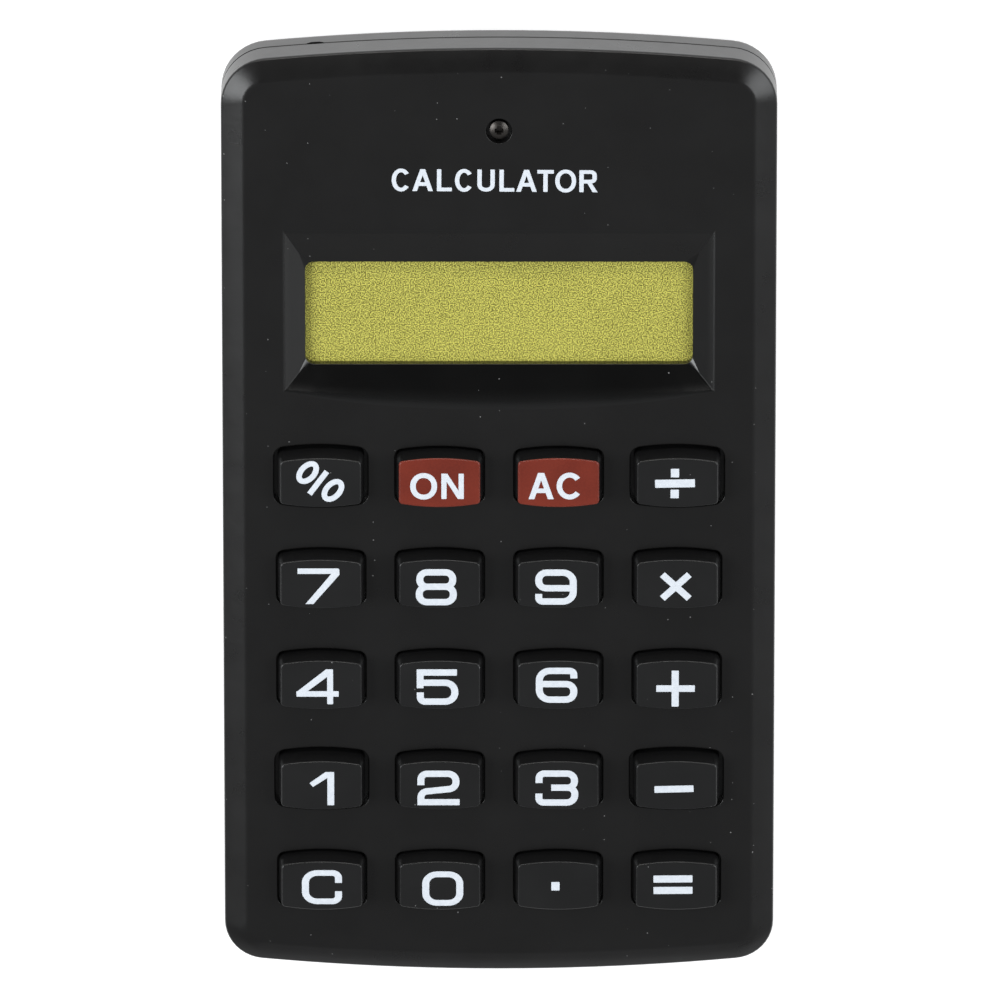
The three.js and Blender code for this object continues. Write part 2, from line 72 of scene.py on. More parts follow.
FRONT_LOW, FRONT_HIGH = box_mm("front_shell")
HALF_WIDTH = FRONT_HIGH.x
HALF_LENGTH = FRONT_HIGH.y
FACE = FRONT_HIGH.z
RIM = FRONT_LOW.z
KEY_LOW, KEY_HIGH = box_mm("key_7")
KEY_TOP = KEY_HIGH.z
BOARD_LOW, BOARD_HIGH = (corner.z for corner in box_mm("pcb"))
CELL_CENTRE = centre_mm("battery_cell")
SCREW_CENTRE = centre_mm("case_screw")
SCREW_LOW = box_mm("case_screw")[0].z
FILM_LOW, FILM_HIGH = box_mm("lcd_polariser")
MAT_LOW, MAT_HIGH = box_mm("keypad_mat")
BOARD_SCREW_PLACES = [centre_mm(f"pcb_screw_{number}") for number in range(1, 8)]

KEY_NAMES = [
    "percent", "on", "ac", "divide",
    "7", "8", "9", "multiply",
    "4", "5", "6", "add",
    "1", "2", "3", "subtract",
    "c", "0", "point", "equals",
]
RED_KEYS = ("on", "ac")
KEYS_IN_WIDE_HOLES = ("percent", "divide", "1", "subtract")
KEY_PLACES = {name: centre_mm(f"key_{name}") for name in KEY_NAMES}

# ---- sizes of the details

OVERCUT = 0.5               # how far a cutter runs past the surface it cuts
SINK = 0.1                  # how far joined features sink into each other
SLIT = 0.05                 # clearance between pieces that lie on each other
STRAIGHT = 1e5              # a bow's radius where an end is as good as straight

END_BOW = 260               # radius that both ends of the body bow out on
CORNER_DISPLAY_END = 5.0
CORNER_KEY_END = 4.3
WALL = 1.6
RIM_EDGE = 0.1              # rounding of the rims that meet at the parting line
RIM_GAP = 0.12

BEVEL_FOOT = 7.8
BEVEL_WIDTH = 2.3
BEVEL_CROWN = {"inset": 1.1, "rise": 0.54, "radius": 12}    # the bevel stands a little proud there
BEVEL_EDGE = 0.35           # rounding between the walls and the bevel
BEVEL_CREASE = 1.5          # rounding between the bevel and the face
FACE_CORNER = 2.2
FACE_UNDERSIDE = 7.4
ROOF_SLOPE = {"inset": 2.9, "low": 6.6}
REBATE = {"inset": 0.85, "top": 5.8}

RECESS = {"half_width": 22.3, "top": 31.3, "bottom": 12.35, "corner": 0.02, "bottom_bow": 172}
WINDOW = {"half_width": 20.1, "top": 27.45, "bottom": 16.2, "corner": 0.9, "bottom_bow": STRAIGHT}
WINDOW_RIM = 7.2
WINDOW_LIP = 6.3
WINDOW_EDGE = 0.06
RECESS_EDGE = 0.6
# half the width of the soft rounding along the surround's lower edge: in its middle, and at its ends
RECESS_FOOT = {"reach": 0.8, "least": 0.02, "inset": 0.15}
# how far the polish may lie past the recess and past its bowed lower edge, how far it stays under
# the face, and the least Y of the normals of its slopes
POLISH = {"margin": 0.4, "bow": 2.8, "under_face": 0.003, "least_lean": -0.3}
MITRE_START = 0.3           # share of the slope on which the window's round corner turns into a mitre
WINDOW_PAD = {"half_width": 24, "top": 32.6, "bottom": 11.0}
GLASS_POCKET = {"half_width": 22.8, "top": 30.8, "bottom": 13.2, "wall": 1.2, "low": 4.7}

KEY_FACE = {"half_width": 4.24, "half_height": 2.72, "sag": 0.4, "corner": 0.45}
KEY_EDGE = 0.2
KEY_DRAFT = 0.25
FLANGE = {"corner": 1.2, "low": 6.6, "high": 7.3}
KEY_HOLLOW = {"half_width": 3.3, "half_height": 1.85, "corner": 0.5, "high": 9.8}
PLUNGER = 1.3
KEY_HOLE = {"half_width": 4.625, "half_height": 3.25, "sag": 0.45, "corner": 0.75}
WIDE_HOLE = {"half_width": 4.875, "half_height": 3.45, "sag": 0.45, "corner": 1.1}
HOLE_EDGE = 0.14

COUNTERBORE = {"radius": 1.36, "seat": 7.65, "edge": 0.05}
SEAT_BOSS = {"radius": 2.6, "low": 6.2, "bore": 0.75}
BOARD_BOSS = {"radius": 1.4, "bore": 0.78, "top": 6.6}
CELL_RIB = {"half_length": 2.5, "half_width": 0.4, "low": 5.7}
LEDGE = {"low": 5.8, "top": 6.4, "inner": -47.95, "outer": -49.6}
HOOK = {"x": 12, "half_width": 2, "stem": 1.0, "outer": -47.6, "nose": 0.6, "low": 6.55, "tip": 6.7,
        "top": 6.95}

FOOT = {"height": 0.4, "radius": 2, "x": 20, "y": 42, "edge": 0.15}
BACK_ROUNDING = 2.2
FLOOR = {"top": 1.8, "fillet": 0.9}
TONGUE = {"inset": 1.05, "top": 5.5}
LABEL_RECESS = {"half_width": 17, "top": 12, "bottom": -4, "corner": 1, "depth": 0.2, "edge": 0.12}
PRY_NOTCH = {"x": -19, "half_width": 0.95, "inner": 49.5, "drop": 0.46,
             "taper": ((0.45, 1), (0.8, 0.5), (1, 0))}      # shares of the width at shares of the drop
REAR_BOSS = {"radius": 2.2, "top": 6.0, "bore": 0.7, "bore_low": 2.4}
CELL_BAY = {"inner": 6.1, "outer": 6.9, "top": 5.0}
STRIP_SLOT = {"half_width": 1.8, "top": 2.4}
STAKE = {"y": 32.9, "radius": 0.45, "top": 2.6}
BOARD_POSTS = (Vector((0, -17.98)), 12.355, 5.605)     # their middle, and how far they lie from it
POST_RADIUS = 1.2


# ---- flat geometry

def rounded(points, radii, steps=4, closed=False):
    """The points as Vectors, with an arc in place of each corner that has a radius."""
    points = [Vector(point) for point in points]
    if not isinstance(radii, (list, tuple)):
        radii = [radii] * len(points)
    result = []
    for index, (point, radius) in enumerate(zip(points, radii)):
        is_end = not closed and index in (0, len(points) - 1)
        if is_end or radius == 0:
            result.append(point)
            continue
        back = points[index - 1] - point
        ahead = points[(index + 1) % len(points)] - point
        half_angle = back.angle(ahead) / 2
        reach = min(radius / math.tan(half_angle), 0.49 * back.length, 0.49 * ahead.length)
        radius = reach * math.tan(half_angle)
        centre = point + (back.normalized() + ahead.normalized()).normalized() * radius / math.sin(half_angle)
        start = point + back.normalized() * reach - centre
        end = point + ahead.normalized() * reach - centre
        turn = start.angle_signed(end)
        for step in range(steps + 1):
            result.append(centre + Matrix.Rotation(-turn * step / steps, 2) @ start)
    return result


def crown(half_width, height, bow, corner, corner_steps, bow_steps):
    """One end of an outline, from its right side to its left: two corner arcs with a bow between them."""
    centre = height - bow
    x = half_width - corner
    y = centre + math.sqrt((bow - corner) ** 2 - x ** 2)
    meet = math.atan2(y - centre, x)
    side = []
    for step in range(corner_steps + 1):
        angle = meet * step / corner_steps
        side.append(Vector((x + corner * math.cos(angle), y + corner * math.sin(angle))))
    middle = []
    for step in range(1, bow_steps):
        angle = meet + (math.pi - 2 * meet) * step / bow_steps
        middle.append(Vector((bow * math.cos(angle), centre + bow * math.sin(angle))))
    return side + middle + [Vector((-point.x, point.y)) for point in reversed(side)]


def outline(half_width, top, bottom, corner, top_corner=None, bottom_corner=None,
            top_bow=STRAIGHT, bottom_bow=STRAIGHT, corner_steps=4, bow_steps=1):
    """A straight-sided outline whose top and bottom may bow outwards."""
    upper = crown(half_width, top, top_bow, top_corner or corner, corner_steps, bow_steps)
    lower = crown(half_width, -bottom, bottom_bow, bottom_corner or corner, corner_steps, bow_steps)
    return upper + [-point for point in lower]


def body_outline(inset, corner_loss=None):
    """The body's outline, drawn in by a distance."""
    loss = inset if corner_loss is None else corner_loss
    return outline(
        half_width=HALF_WIDTH - inset,
        top=HALF_LENGTH - inset,
        bottom=inset - HALF_LENGTH,
        corner=None,
        top_corner=max(CORNER_DISPLAY_END - loss, FACE_CORNER),
        bottom_corner=max(CORNER_KEY_END - loss, FACE_CORNER),
        top_bow=END_BOW - inset,
        bottom_bow=END_BOW - inset,
        corner_steps=10,
        bow_steps=20,
    )


def barrel(half_width, half_height, sag, corner, grow=0.0):
    """The outline of a key or of its hole, grown by a distance: straight sides, bowed top and bottom."""
    bow = (half_width ** 2 + sag ** 2) / (2 * sag) + grow
    return outline(
        half_width + grow, half_height + grow, -half_height - grow, corner + grow,
        top_bow=bow, bottom_bow=bow, corner_steps=6, bow_steps=10,
    )


def shifted(points, place):
    return [point + place.xy for point in points]


def quarter_turn(steps):
    """Angles from nothing to a right angle."""
    return [math.pi / 2 * step / steps for step in range(steps + 1)]


def flare(edge, low, high):
    """(growth, height) pairs of a hole cutter that opens out to round the hole's upper edge."""
    rings = [(edge * (1 - math.cos(angle)), high - edge * (1 - math.sin(angle))) for angle in quarter_turn(4)]
    return [(0, low), *rings, (edge, high + OVERCUT)]


# ---- solids

def placed(name, data):
    """A new object in the scene."""
    thing = bpy.data.objects.new(name, data)
    bpy.context.scene.collection.objects.link(thing)
    return thing


def form(points, faces):
    """A loose shape in millimetres, which piece() or carve() takes up."""
    mesh = bpy.data.meshes.new("form")
    mesh.from_pydata(points, [], faces)
    return placed("form", mesh)


def between(first, count, rings):
    """The faces between neighbouring rings of count points each; first is the first ring's first point."""
    faces = []
    for low in range(first, first + (rings - 1) * count, count):
        for step in range(count):
            ahead = (step + 1) % count
            faces.append((low + step, low + ahead, low + ahead + count, low + step + count))
    return faces


def loft(rings):
    """A closed solid through (outline, height) rings that all have the same number of points."""
    count = len(rings[0][0])
    points = [(point.x, point.y, height) for ring, height in rings for point in ring]
    base = tuple(reversed(range(count)))
    lid = tuple(range(len(points) - count, len(points)))
    return form(points, [base, *between(0, count, len(rings)), lid])


def prism(ring, low, high):
    return loft([(ring, low), (ring, high)])


def rectangle(x0, x1, y0, y1):
    return [Vector(corner) for corner in ((x1, y0), (x1, y1), (x0, y1), (x0, y0))]


def centred(place, half_width, half_height):
    return rectangle(place.x - half_width, place.x + half_width, place.y - half_height, place.y + half_height)


def block(x0, x1, y0, y1, low, high):
    return prism(rectangle(x0, x1, y0, y1), low, high)


def laid_along_x(shape):
    """Turns a solid drawn with Y and Z as its outline's axes, so that its height runs along X."""
    shape.data.transform(Matrix(((0, 0, 1, 0), (1, 0, 0, 0), (0, 1, 0, 0), (0, 0, 0, 1))))
    return shape


def circle(radius, sides, place=Vector((0, 0))):
    angles = [2 * math.pi * side / sides for side in range(sides)]
    return [place.xy + radius * Vector((math.cos(angle), math.sin(angle))) for angle in angles]


def rod(place, radius, low, high, sides=24):
    return prism(circle(radius, sides, place), low, high)


def turned(place, profile, sides=32):
    """A closed solid turned about an upright axis, on which its (radius, height) pairs start and end."""
    points = [(*place.xy, profile[0][1])]
    for radius, height in profile[1:-1]:
        points += [(*point, height) for point in circle(radius, sides, place)]
    points.append((*place.xy, profile[-1][1]))
    tip = len(points) - 1
    last = tip - sides
    faces = between(1, sides, len(profile) - 2)
    for side in range(sides):
        ahead = (side + 1) % sides
        faces += [(0, 1 + ahead, 1 + side), (last + side, last + ahead, tip)]
    return form(points, faces)


def carve(shape, operation, tools):
    """Joins the tools to the shape (UNION) or cuts them out of it (DIFFERENCE), and uses them up."""
    group = bpy.data.collections.new("tools")
    for tool in tools:
        group.objects.link(tool)
    modifier = shape.modifiers.new("carve", "BOOLEAN")
    modifier.operation = operation
    modifier.operand_type = "COLLECTION"
    modifier.collection = group
    modifier.solver = "EXACT"
    evaluated = shape.evaluated_get(bpy.context.evaluated_depsgraph_get())
    mesh = bpy.data.meshes.new_from_object(evaluated)
    shape.modifiers.clear()
    shape.data = mesh
    for tool in tools:
        bpy.data.objects.remove(tool)
    bpy.data.collections.remove(group)
    return shape


# ---- shading

SAME_PLANE = math.radians(0.2)
CREASE = math.radians(38)


def plane_areas(mesh):
    """For each face, a number for the flat region that it belongs to, and each region's area."""
    region = list(range(len(mesh.polygons)))

    def root(index):
        while region[index] != index:
            region[index] = region[region[index]]
            index = region[index]
        return index

    first_face = {}
    limit = math.cos(SAME_PLANE)
    for polygon in mesh.polygons:
        for key in polygon.edge_keys:
            other = first_face.setdefault(key, polygon.index)
            if other != polygon.index and polygon.normal.dot(mesh.polygons[other].normal) > limit:
                region[root(polygon.index)] = root(other)
    roots = [root(index) for index in range(len(region))]
    areas = {}
    for polygon in mesh.polygons:
        areas[roots[polygon.index]] = areas.get(roots[polygon.index], 0) + polygon.area
    return roots, areas


def shade(mesh):
    """Flat regions keep their own normal, and the narrow rounded strips between them blend into them."""
    roots, areas = plane_areas(mesh)
    around = [[] for _ in mesh.vertices]
    for polygon in mesh.polygons:
        for vertex in polygon.vertices:
            around[vertex].append(polygon)
    limit = math.cos(CREASE)
    normals = [None] * len(mesh.loops)
    for polygon in mesh.polygons:
        for loop in polygon.loop_indices:
            weights = {}
            for other in around[mesh.loops[loop].vertex_index]:
                if polygon.normal.dot(other.normal) > limit:
                    weights[roots[other.index]] = other.normal
            parts = [normal * areas[region] for region, normal in weights.items()]
            normals[loop] = sum(parts, Vector()).normalized()
    mesh.polygons.foreach_set("use_smooth", [True] * len(mesh.polygons))
    mesh.normals_split_custom_set(normals)


# ---- materials

FIRST_COLOUR, SECOND_COLOUR, MIXED_COLOUR = 6, 7, 2     # the Mix node's sockets that hold colours


class Nodes:
    """A node tree, and short calls that add nodes to it."""

    def __init__(self, tree):
        self.tree = tree

    def node(self, kind, sockets, **settings):
        node = self.tree.nodes.new(kind)
        for setting, value in settings.items():
            setattr(node, setting, value)
        for socket, value in sockets.items():
            if isinstance(value, bpy.types.NodeSocket):
                self.tree.links.new(value, node.inputs[socket])
            else:
                node.inputs[socket].default_value = value
        return node

    def split(self, vector):
        return self.node("ShaderNodeSeparateXYZ", {"Vector": vector}).outputs

    def range(self, value, low, high, to_low, to_high, **settings):
        sockets = {"Value": value, "From Min": low, "From Max": high, "To Min": to_low, "To Max": to_high}
        return self.node("ShaderNodeMapRange", sockets, **settings).outputs["Result"]

    def math(self, operation, first, second=0.0):
        return self.node("ShaderNodeMath", {0: first, 1: second}, operation=operation).outputs[0]

    def product(self, *factors):
        result = factors[0]
        for factor in factors[1:]:
            result = self.math("MULTIPLY", result, factor)
        return result


class Look(Nodes):
    """One procedural material: its Principled shader, and the nodes that feed it."""

    def __init__(self, name, sockets):
        self.material = bpy.data.materials.new(name)
        self.material.use_nodes = True
        super().__init__(self.material.node_tree)
        self.shader = self.tree.nodes["Principled BSDF"]
        for socket, value in sockets.items():
            self.shader.inputs[socket].default_value = value
        coordinates = self.node("ShaderNodeTexCoord", {})
        self.place = coordinates.outputs["Object"]
        self.normal = coordinates.outputs["Normal"]

    def finish(self, colour, roughness=None, normal=None):
        """Feeds the shader and returns the material."""
        for socket, value in (("Base Color", colour), ("Roughness", roughness), ("Normal", normal)):
            if value is not None:
                self.tree.links.new(value, self.shader.inputs[socket])
        return self.material

    def noise(self, grain, detail=2.0, roughness=0.5, place=None):
        """Noise whose blotches are about that many millimetres across."""
        sockets = {"Vector": place or self.place, "Scale": 1 / (grain * MM), "Detail": detail,
                   "Roughness": roughness}
        return self.node("ShaderNodeTexNoise", sockets).outputs["Fac"]

    def spread(self, noise, to_low=0, to_high=1):
        """Most of a noise lies between these two values."""
        return self.range(noise, 0.3, 0.7, to_low, to_high)

    def stretched(self, x, y, z):
        """The place, stretched by a factor along each axis, for streaks."""
        return self.node("ShaderNodeMapping", {"Vector": self.place, "Scale": (x, y, z)}).outputs["Vector"]

    def mix(self, factor, first, second):
        """Colour from first to second as the factor goes from 0 to 1."""
        sockets = {0: factor, FIRST_COLOUR: first, SECOND_COLOUR: second}
        return self.node("ShaderNodeMix", sockets, data_type="RGBA").outputs[MIXED_COLOUR]

    def bump(self, height, depth, below=None):
        """A bump of that many millimetres; below is the output of a bump that it adds to."""
        sockets = {"Height": height, "Distance": depth * MM, "Strength": 1.0}
        if below:
            sockets["Normal"] = below
        return self.node("ShaderNodeBump", sockets).outputs["Normal"]

    def specks(self, spacing, radius, share):
        """A mask of rare round dots, up to radius wide, on the faces that look up and lie in dust's way."""
        cells = self.node("ShaderNodeTexVoronoi", {"Vector": self.place, "Scale": 1 / (spacing * MM)},
                          voronoi_dimensions="2D")
        drawn = self.node("ShaderNodeSeparateColor", {"Color": cells.outputs["Color"]})
        reach = self.range(drawn.outputs[1], 0, 1, 0.3 * radius / spacing, radius / spacing)
        near = self.math("LESS_THAN", cells.outputs["Distance"], reach)
        chosen = self.math("LESS_THAN", drawn.outputs[0], share)
        looks_up = self.math("GREATER_THAN", self.split(self.normal)[2], 0.7)
        return self.product(near, chosen, looks_up)


DUST = {"spacing": 2.2, "radius": 0.075, "grey": 0.19}


def grey(value, blue=0.0):
    return (value, value, value * (1 + blue), 1)


def moulded(name, dark, light, roughness, grain=0.16, depth=0.004, dust=0.0, fade=None, ior=1.5):
    """Injection-moulded plastic: spark-eroded grain, slow changes of gloss, and a few specks of dust.

    fade is two heights and the roughness that the surface has come to at the upper one.
    """
    look = Look(name, {"IOR": ior})
    slow = look.noise(9, detail=3)
    fine = look.noise(grain, detail=3, roughness=0.6)
    colour = look.mix(look.spread(slow), dark, light)
    colour = look.mix(look.range(fine, 0.35, 0.75, 0, 0.35), colour, light)
    if dust:
        mask = look.specks(DUST["spacing"], DUST["radius"], dust)
        colour = look.mix(mask, colour, grey(DUST["grey"]))
    gloss = look.spread(look.noise(2.5, detail=4), roughness - 0.02, roughness + 0.02)
    if fade:
        low, high, matt = fade
        height = look.split(look.place)[2]
        gloss = look.math("MAXIMUM", gloss, look.range(height, low * MM, high * MM, roughness, matt))
    return look.finish(colour, gloss, look.bump(fine, depth, look.bump(look.noise(0.7), depth * 1.5)))


def ink():
    """Pad-printed ink: a little thin and mottled, with a soft sheen."""
    look = Look("legend_ink", {"IOR": 1.45})
    mottle = look.noise(0.35, detail=4, roughness=0.65)
    colour = look.mix(look.range(mottle, 0.3, 0.75, 0, 1), (0.74, 0.79, 0.87, 1), (0.87, 0.92, 0.98, 1))
    return look.finish(colour, look.spread(mottle, 0.45, 0.6), look.bump(mottle, 0.006))


def metal(name, dark, light, roughness, brushed=(1, 1, 1), grain=0.25, depth=0.002, metallic=1.0):
    """Plated or rolled metal with fine lines and worn patches."""
    look = Look(name, {"Metallic": metallic})
    lines = look.noise(grain, detail=4, roughness=0.6, place=look.stretched(*brushed))
    patches = look.noise(2.2, detail=4)
    blend = look.product(look.spread(lines, 0.4, 1), look.spread(patches, 0.6, 1))
    gloss = look.spread(patches, roughness + 0.08, roughness - 0.06)
    return look.finish(look.mix(blend, dark, light), gloss, look.bump(lines, depth))


def display_front():
    """The grained yellow-green front of the display, with slow changes of tone."""
    look = Look("display_front", {"IOR": 1.5})
    grain = look.noise(0.13, detail=2, roughness=0.55)
    clumps = look.noise(0.9, detail=3, roughness=0.6)
    tone = look.math("ADD", look.range(grain, 0.41, 0.59, -1, 1), look.spread(clumps, -0.14, 0.14))
    slow = look.noise(14, detail=2)
    tone = look.math("ADD", tone, look.spread(slow, -0.1, 0.1))
    colour = look.mix(look.range(tone, -1, 1, 0, 1), (0.1, 0.091, 0.005, 1), (0.81, 0.767, 0.158, 1))
    return look.finish(colour, look.spread(grain, 0.38, 0.52), look.bump(grain, 0.004))


def display_glass():
    """Thin float glass with a faint green body and a few smears."""
    look = Look("display_glass", {"IOR": 1.52, "Transmission Weight": 0.9})
    smear = look.noise(5, detail=4, roughness=0.6)
    colour = look.mix(look.spread(smear), (0.76, 0.86, 0.8, 1), (0.9, 0.96, 0.9, 1))
    return look.finish(colour, look.range(smear, 0.4, 0.8, 0.03, 0.14))


def silicone():
    """Matt grey rubber with a cloudy body and dust on it."""
    look = Look("silicone", {"IOR": 1.41, "Subsurface Weight": 0.15, "Subsurface Scale": 0.0006})
    cloud = look.noise(3, detail=4)
    fine = look.noise(0.2, detail=3)
    colour = look.mix(look.spread(cloud), (0.30, 0.31, 0.32, 1), (0.36, 0.37, 0.38, 1))
    colour = look.mix(look.specks(1.6, 0.06, 0.12), colour, grey(0.6))
    return look.finish(colour, look.spread(fine, 0.55, 0.72), look.bump(fine, 0.006))


def zebra_rubber(pitch=0.18):
    """Layers of conducting and plain rubber, one after the other along X."""
    look = Look("zebra_rubber", {"IOR": 1.45})
    wave = look.math("SINE", look.product(look.split(look.place)[0], 2 * math.pi / (pitch * MM)))
    mottle = look.noise(0.4, detail=3)
    colour = look.mix(look.range(wave, -0.2, 0.2, 0, 1), grey(0.015), (0.5, 0.5, 0.48, 1))
    return look.finish(colour, look.spread(mottle, 0.54, 0.66), look.bump(wave, 0.01))


PAD = {"radius": 2.3, "pitch": 0.8}     # a key's carbon contact on the board, and its fingers' pitch


def board():
    """Green solder mask over copper tracks, with a ring of carbon fingers under each key."""
    look = Look("circuit_board", {"IOR": 1.5})
    first = KEY_PLACES["7"]
    pitches = (KEY_PLACES["8"].x - first.x, first.y - KEY_PLACES["4"].y)
    across, along, _ = look.split(look.place)
    offsets = []
    for value, start, pitch in zip((across, along), first, pitches):
        steps = look.math("DIVIDE", look.math("SUBTRACT", value, start * MM), pitch * MM)
        away = look.math("SUBTRACT", steps, look.math("ROUND", steps))
        offsets.append(look.product(away, pitch))
    x, y = offsets
    reach = look.math("SQRT", look.math("ADD", look.product(x, x), look.product(y, y)))
    in_pad = look.math("LESS_THAN", reach, PAD["radius"])
    in_finger = look.math("GREATER_THAN", look.math("SINE", look.product(x, 2 * math.pi / PAD["pitch"])), 0)
    on_keypad = look.math("LESS_THAN", along, MAT_HIGH.y * MM)
    tracks = look.node("ShaderNodeTexBrick", {
        "Vector": look.place, "Scale": 1 / (3.1 * MM), "Mortar Size": 0.06, "Brick Width": 1.7,
        "Row Height": 0.31, "Color1": grey(0), "Color2": grey(0), "Mortar": grey(1),
    }).outputs["Color"]
    weave = look.noise(0.5, detail=3)
    mask = look.mix(look.spread(weave), (0.012, 0.10, 0.045, 1), (0.02, 0.14, 0.06, 1))
    mask = look.mix(look.product(tracks, 0.6), mask, (0.06, 0.26, 0.10, 1))
    colour = look.mix(look.product(in_pad, in_finger, on_keypad), mask, grey(0.015))
    relief = look.bump(tracks, 0.03, look.bump(weave, 0.01))
    return look.finish(colour, look.spread(weave, 0.3, 0.42), relief)


def studio_floor():
    """A pale light table: matt white, very slightly uneven, with a little light of its own."""
    look = Look("studio_floor", {"Roughness": 0.9, "Emission Color": (1, 1, 1, 1), "Emission Strength": 0.74,
                                 "Specular IOR Level": 0.1})
    return look.finish(look.mix(look.noise(60), grey(0.58), grey(0.61)))


BLACK = (0.0058, 0.0055, 0.0055, 1)
BLACK_LIGHT = (0.008, 0.0077, 0.0077, 1)
MATT = 0.29
POLISHED = moulded("polished_plastic", grey(0.003), grey(0.0045), 0.16, grain=0.5, depth=0.0008, dust=0.08,
                   fade=(FACE - 0.6, FACE - 0.02, MATT), ior=1.6)
LOOKS = {
    "case_black": moulded("case_plastic", BLACK, BLACK_LIGHT, MATT, dust=0.12),
    "key_black": moulded("key_plastic", grey(0.0072, 0.03), grey(0.0105, 0.03), 0.31, grain=0.12, dust=0.1),
    "key_red": moulded("red_key_plastic", (0.145, 0.0165, 0.0078, 1), (0.26, 0.035, 0.0165, 1), 0.34,
                       grain=0.25),
    "legend_white": ink(),
    "screw_black": metal("blackened_steel", (0.036, 0.033, 0.031, 1), (0.1, 0.092, 0.085, 1), 0.36,
                         grain=0.3, metallic=0.85),
    "screw_steel": metal("nickel_plate", grey(0.42), grey(0.68), 0.3),
    "display_front": display_front(),
    "display_glass": display_glass(),
    "display_reflector": metal("brushed_reflector", (0.42, 0.40, 0.12, 1), (0.7, 0.67, 0.3, 1), 0.35,
                               brushed=(0.05, 1, 1)),
    "silicone": silicone(),
    "zebra_rubber": zebra_rubber(),
    "board_green": board(),
    "epoxy_black": moulded("potting_resin", grey(0.008), grey(0.014), 0.22, grain=0.8, depth=0.01),
    "chip_ceramic": moulded("chip_ceramic", (0.16, 0.10, 0.055, 1), (0.24, 0.16, 0.09, 1), 0.5, grain=0.3),
    "cell_steel": metal("cell_steel", grey(0.5), grey(0.74), 0.24, brushed=(0.1, 1, 1), grain=0.15),
    "contact_metal": metal("contact_strip", grey(0.46), grey(0.7), 0.28, brushed=(1, 0.06, 1), grain=0.2),
}


# ---- pieces

def piece(shape, name, slot, body="body", replaces=(), second=None):
    """Turns a shape into a finished piece: in metres, shaded, named, coloured, and riding on its body.

    second is another material and a test that picks the polygons that wear it, still in millimetres.
    """
    if second:
        material, wears = second
        for polygon in shape.data.polygons:
            polygon.material_index = 1 if wears(polygon) else 0
    else:
        shape.data.polygons.foreach_set("material_index", [0] * len(shape.data.polygons))
    shape.name = name
    shape.data.name = name
    shape.data.transform(Matrix.Scale(MM, 4))
    while shape.data.materials:
        shape.data.materials.pop()
    shape.data.materials.append(LOOKS[slot])
    if second:
        shape.data.materials.append(material)
    shape.data.update()
    shade(shape.data)
    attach(shape, body)
    if replaces:
        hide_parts(*replaces)
    return shape


def front_cover():
    """The face with its bevelled edge, the window's sloping surround, the key holes and the screw's seat."""
    bevel_loss = (CORNER_DISPLAY_END - FACE_CORNER) / BEVEL_WIDTH
    level_end = (BEVEL_WIDTH + 2 * BEVEL_CREASE, FACE)
    ridge = (BEVEL_CROWN["inset"], BEVEL_FOOT + BEVEL_CROWN["rise"])
    profile = rounded(
        [(RIM_EDGE, RIM), (0, RIM + RIM_EDGE), (0, BEVEL_FOOT), ridge, (BEVEL_WIDTH, FACE), level_end],
        [0, 0, BEVEL_EDGE, BEVEL_CROWN["radius"], BEVEL_CREASE, 0], steps=5,
    )[:-1]
    cover = loft([(body_outline(max(inset, 0), inset * bevel_loss), height) for inset, height in profile])
    low = RIM - OVERCUT
    cavity = loft([
        (body_outline(WALL), low),
        (body_outline(WALL), ROOF_SLOPE["low"]),
        (body_outline(ROOF_SLOPE["inset"]), FACE_UNDERSIDE),
    ])
    carve(cover, "DIFFERENCE", [cavity, prism(body_outline(REBATE["inset"]), low, REBATE["top"])])
    carve(cover, "UNION", inner_features())
    carve(cover, "DIFFERENCE", [
        window_cutter(),
        recess_foot(),
        *[key_hole(name) for name in KEY_NAMES],
        *[rod(place, BOARD_BOSS["bore"], BOARD_HIGH - OVERCUT, BOARD_BOSS["top"])
          for place in BOARD_SCREW_PLACES],
        screw_seat(),
    ])

    def in_recess(polygon):
        """The surround is polished, but for the slope that looks towards the keys."""
        x, y, z = polygon.center
        across, top = RECESS["half_width"] + POLISH["margin"], RECESS["top"] + POLISH["margin"]
        is_inside = abs(x) < across and RECESS["bottom"] - POLISH["bow"] < y < top
        is_slope = WINDOW_LIP < z < FACE - POLISH["under_face"] and polygon.normal.y > POLISH["least_lean"]
        return is_inside and is_slope

    piece(cover, "front_cover", "case_black", replaces=["front_shell"], second=(POLISHED, in_recess))


def inner_features():
    """What stands inside the face: the window's thick pad, the glass pocket, bosses, rib, ledges."""
    roof = FACE_UNDERSIDE + SINK
    pad = WINDOW_PAD
    surround = block(-pad["half_width"], pad["half_width"], pad["bottom"], pad["top"], WINDOW_LIP, roof)
    x, top, bottom = GLASS_POCKET["half_width"], GLASS_POCKET["top"], GLASS_POCKET["bottom"]
    wall, low = GLASS_POCKET["wall"], GLASS_POCKET["low"]
    pocket_walls = block(-x - wall, x + wall, bottom - wall, top + wall, low, WINDOW_LIP + SINK)
    carve(pocket_walls, "DIFFERENCE", [block(-x, x, bottom, top, low - OVERCUT, WINDOW_LIP + 2 * SINK)])
    rib = prism(centred(CELL_CENTRE, CELL_RIB["half_length"], CELL_RIB["half_width"]), CELL_RIB["low"], roof)
    ledges = [
        block(x - HOOK["half_width"], x + HOOK["half_width"], LEDGE["outer"], LEDGE["inner"],
              LEDGE["low"], LEDGE["top"])
        for x in (-HOOK["x"], HOOK["x"])
    ]
    bosses = [rod(place, BOARD_BOSS["radius"], BOARD_HIGH + SLIT, roof) for place in BOARD_SCREW_PLACES]
    seat_boss = rod(SCREW_CENTRE, SEAT_BOSS["radius"], SEAT_BOSS["low"], roof)
    return [surround, pocket_walls, rib, *ledges, *bosses, seat_boss]


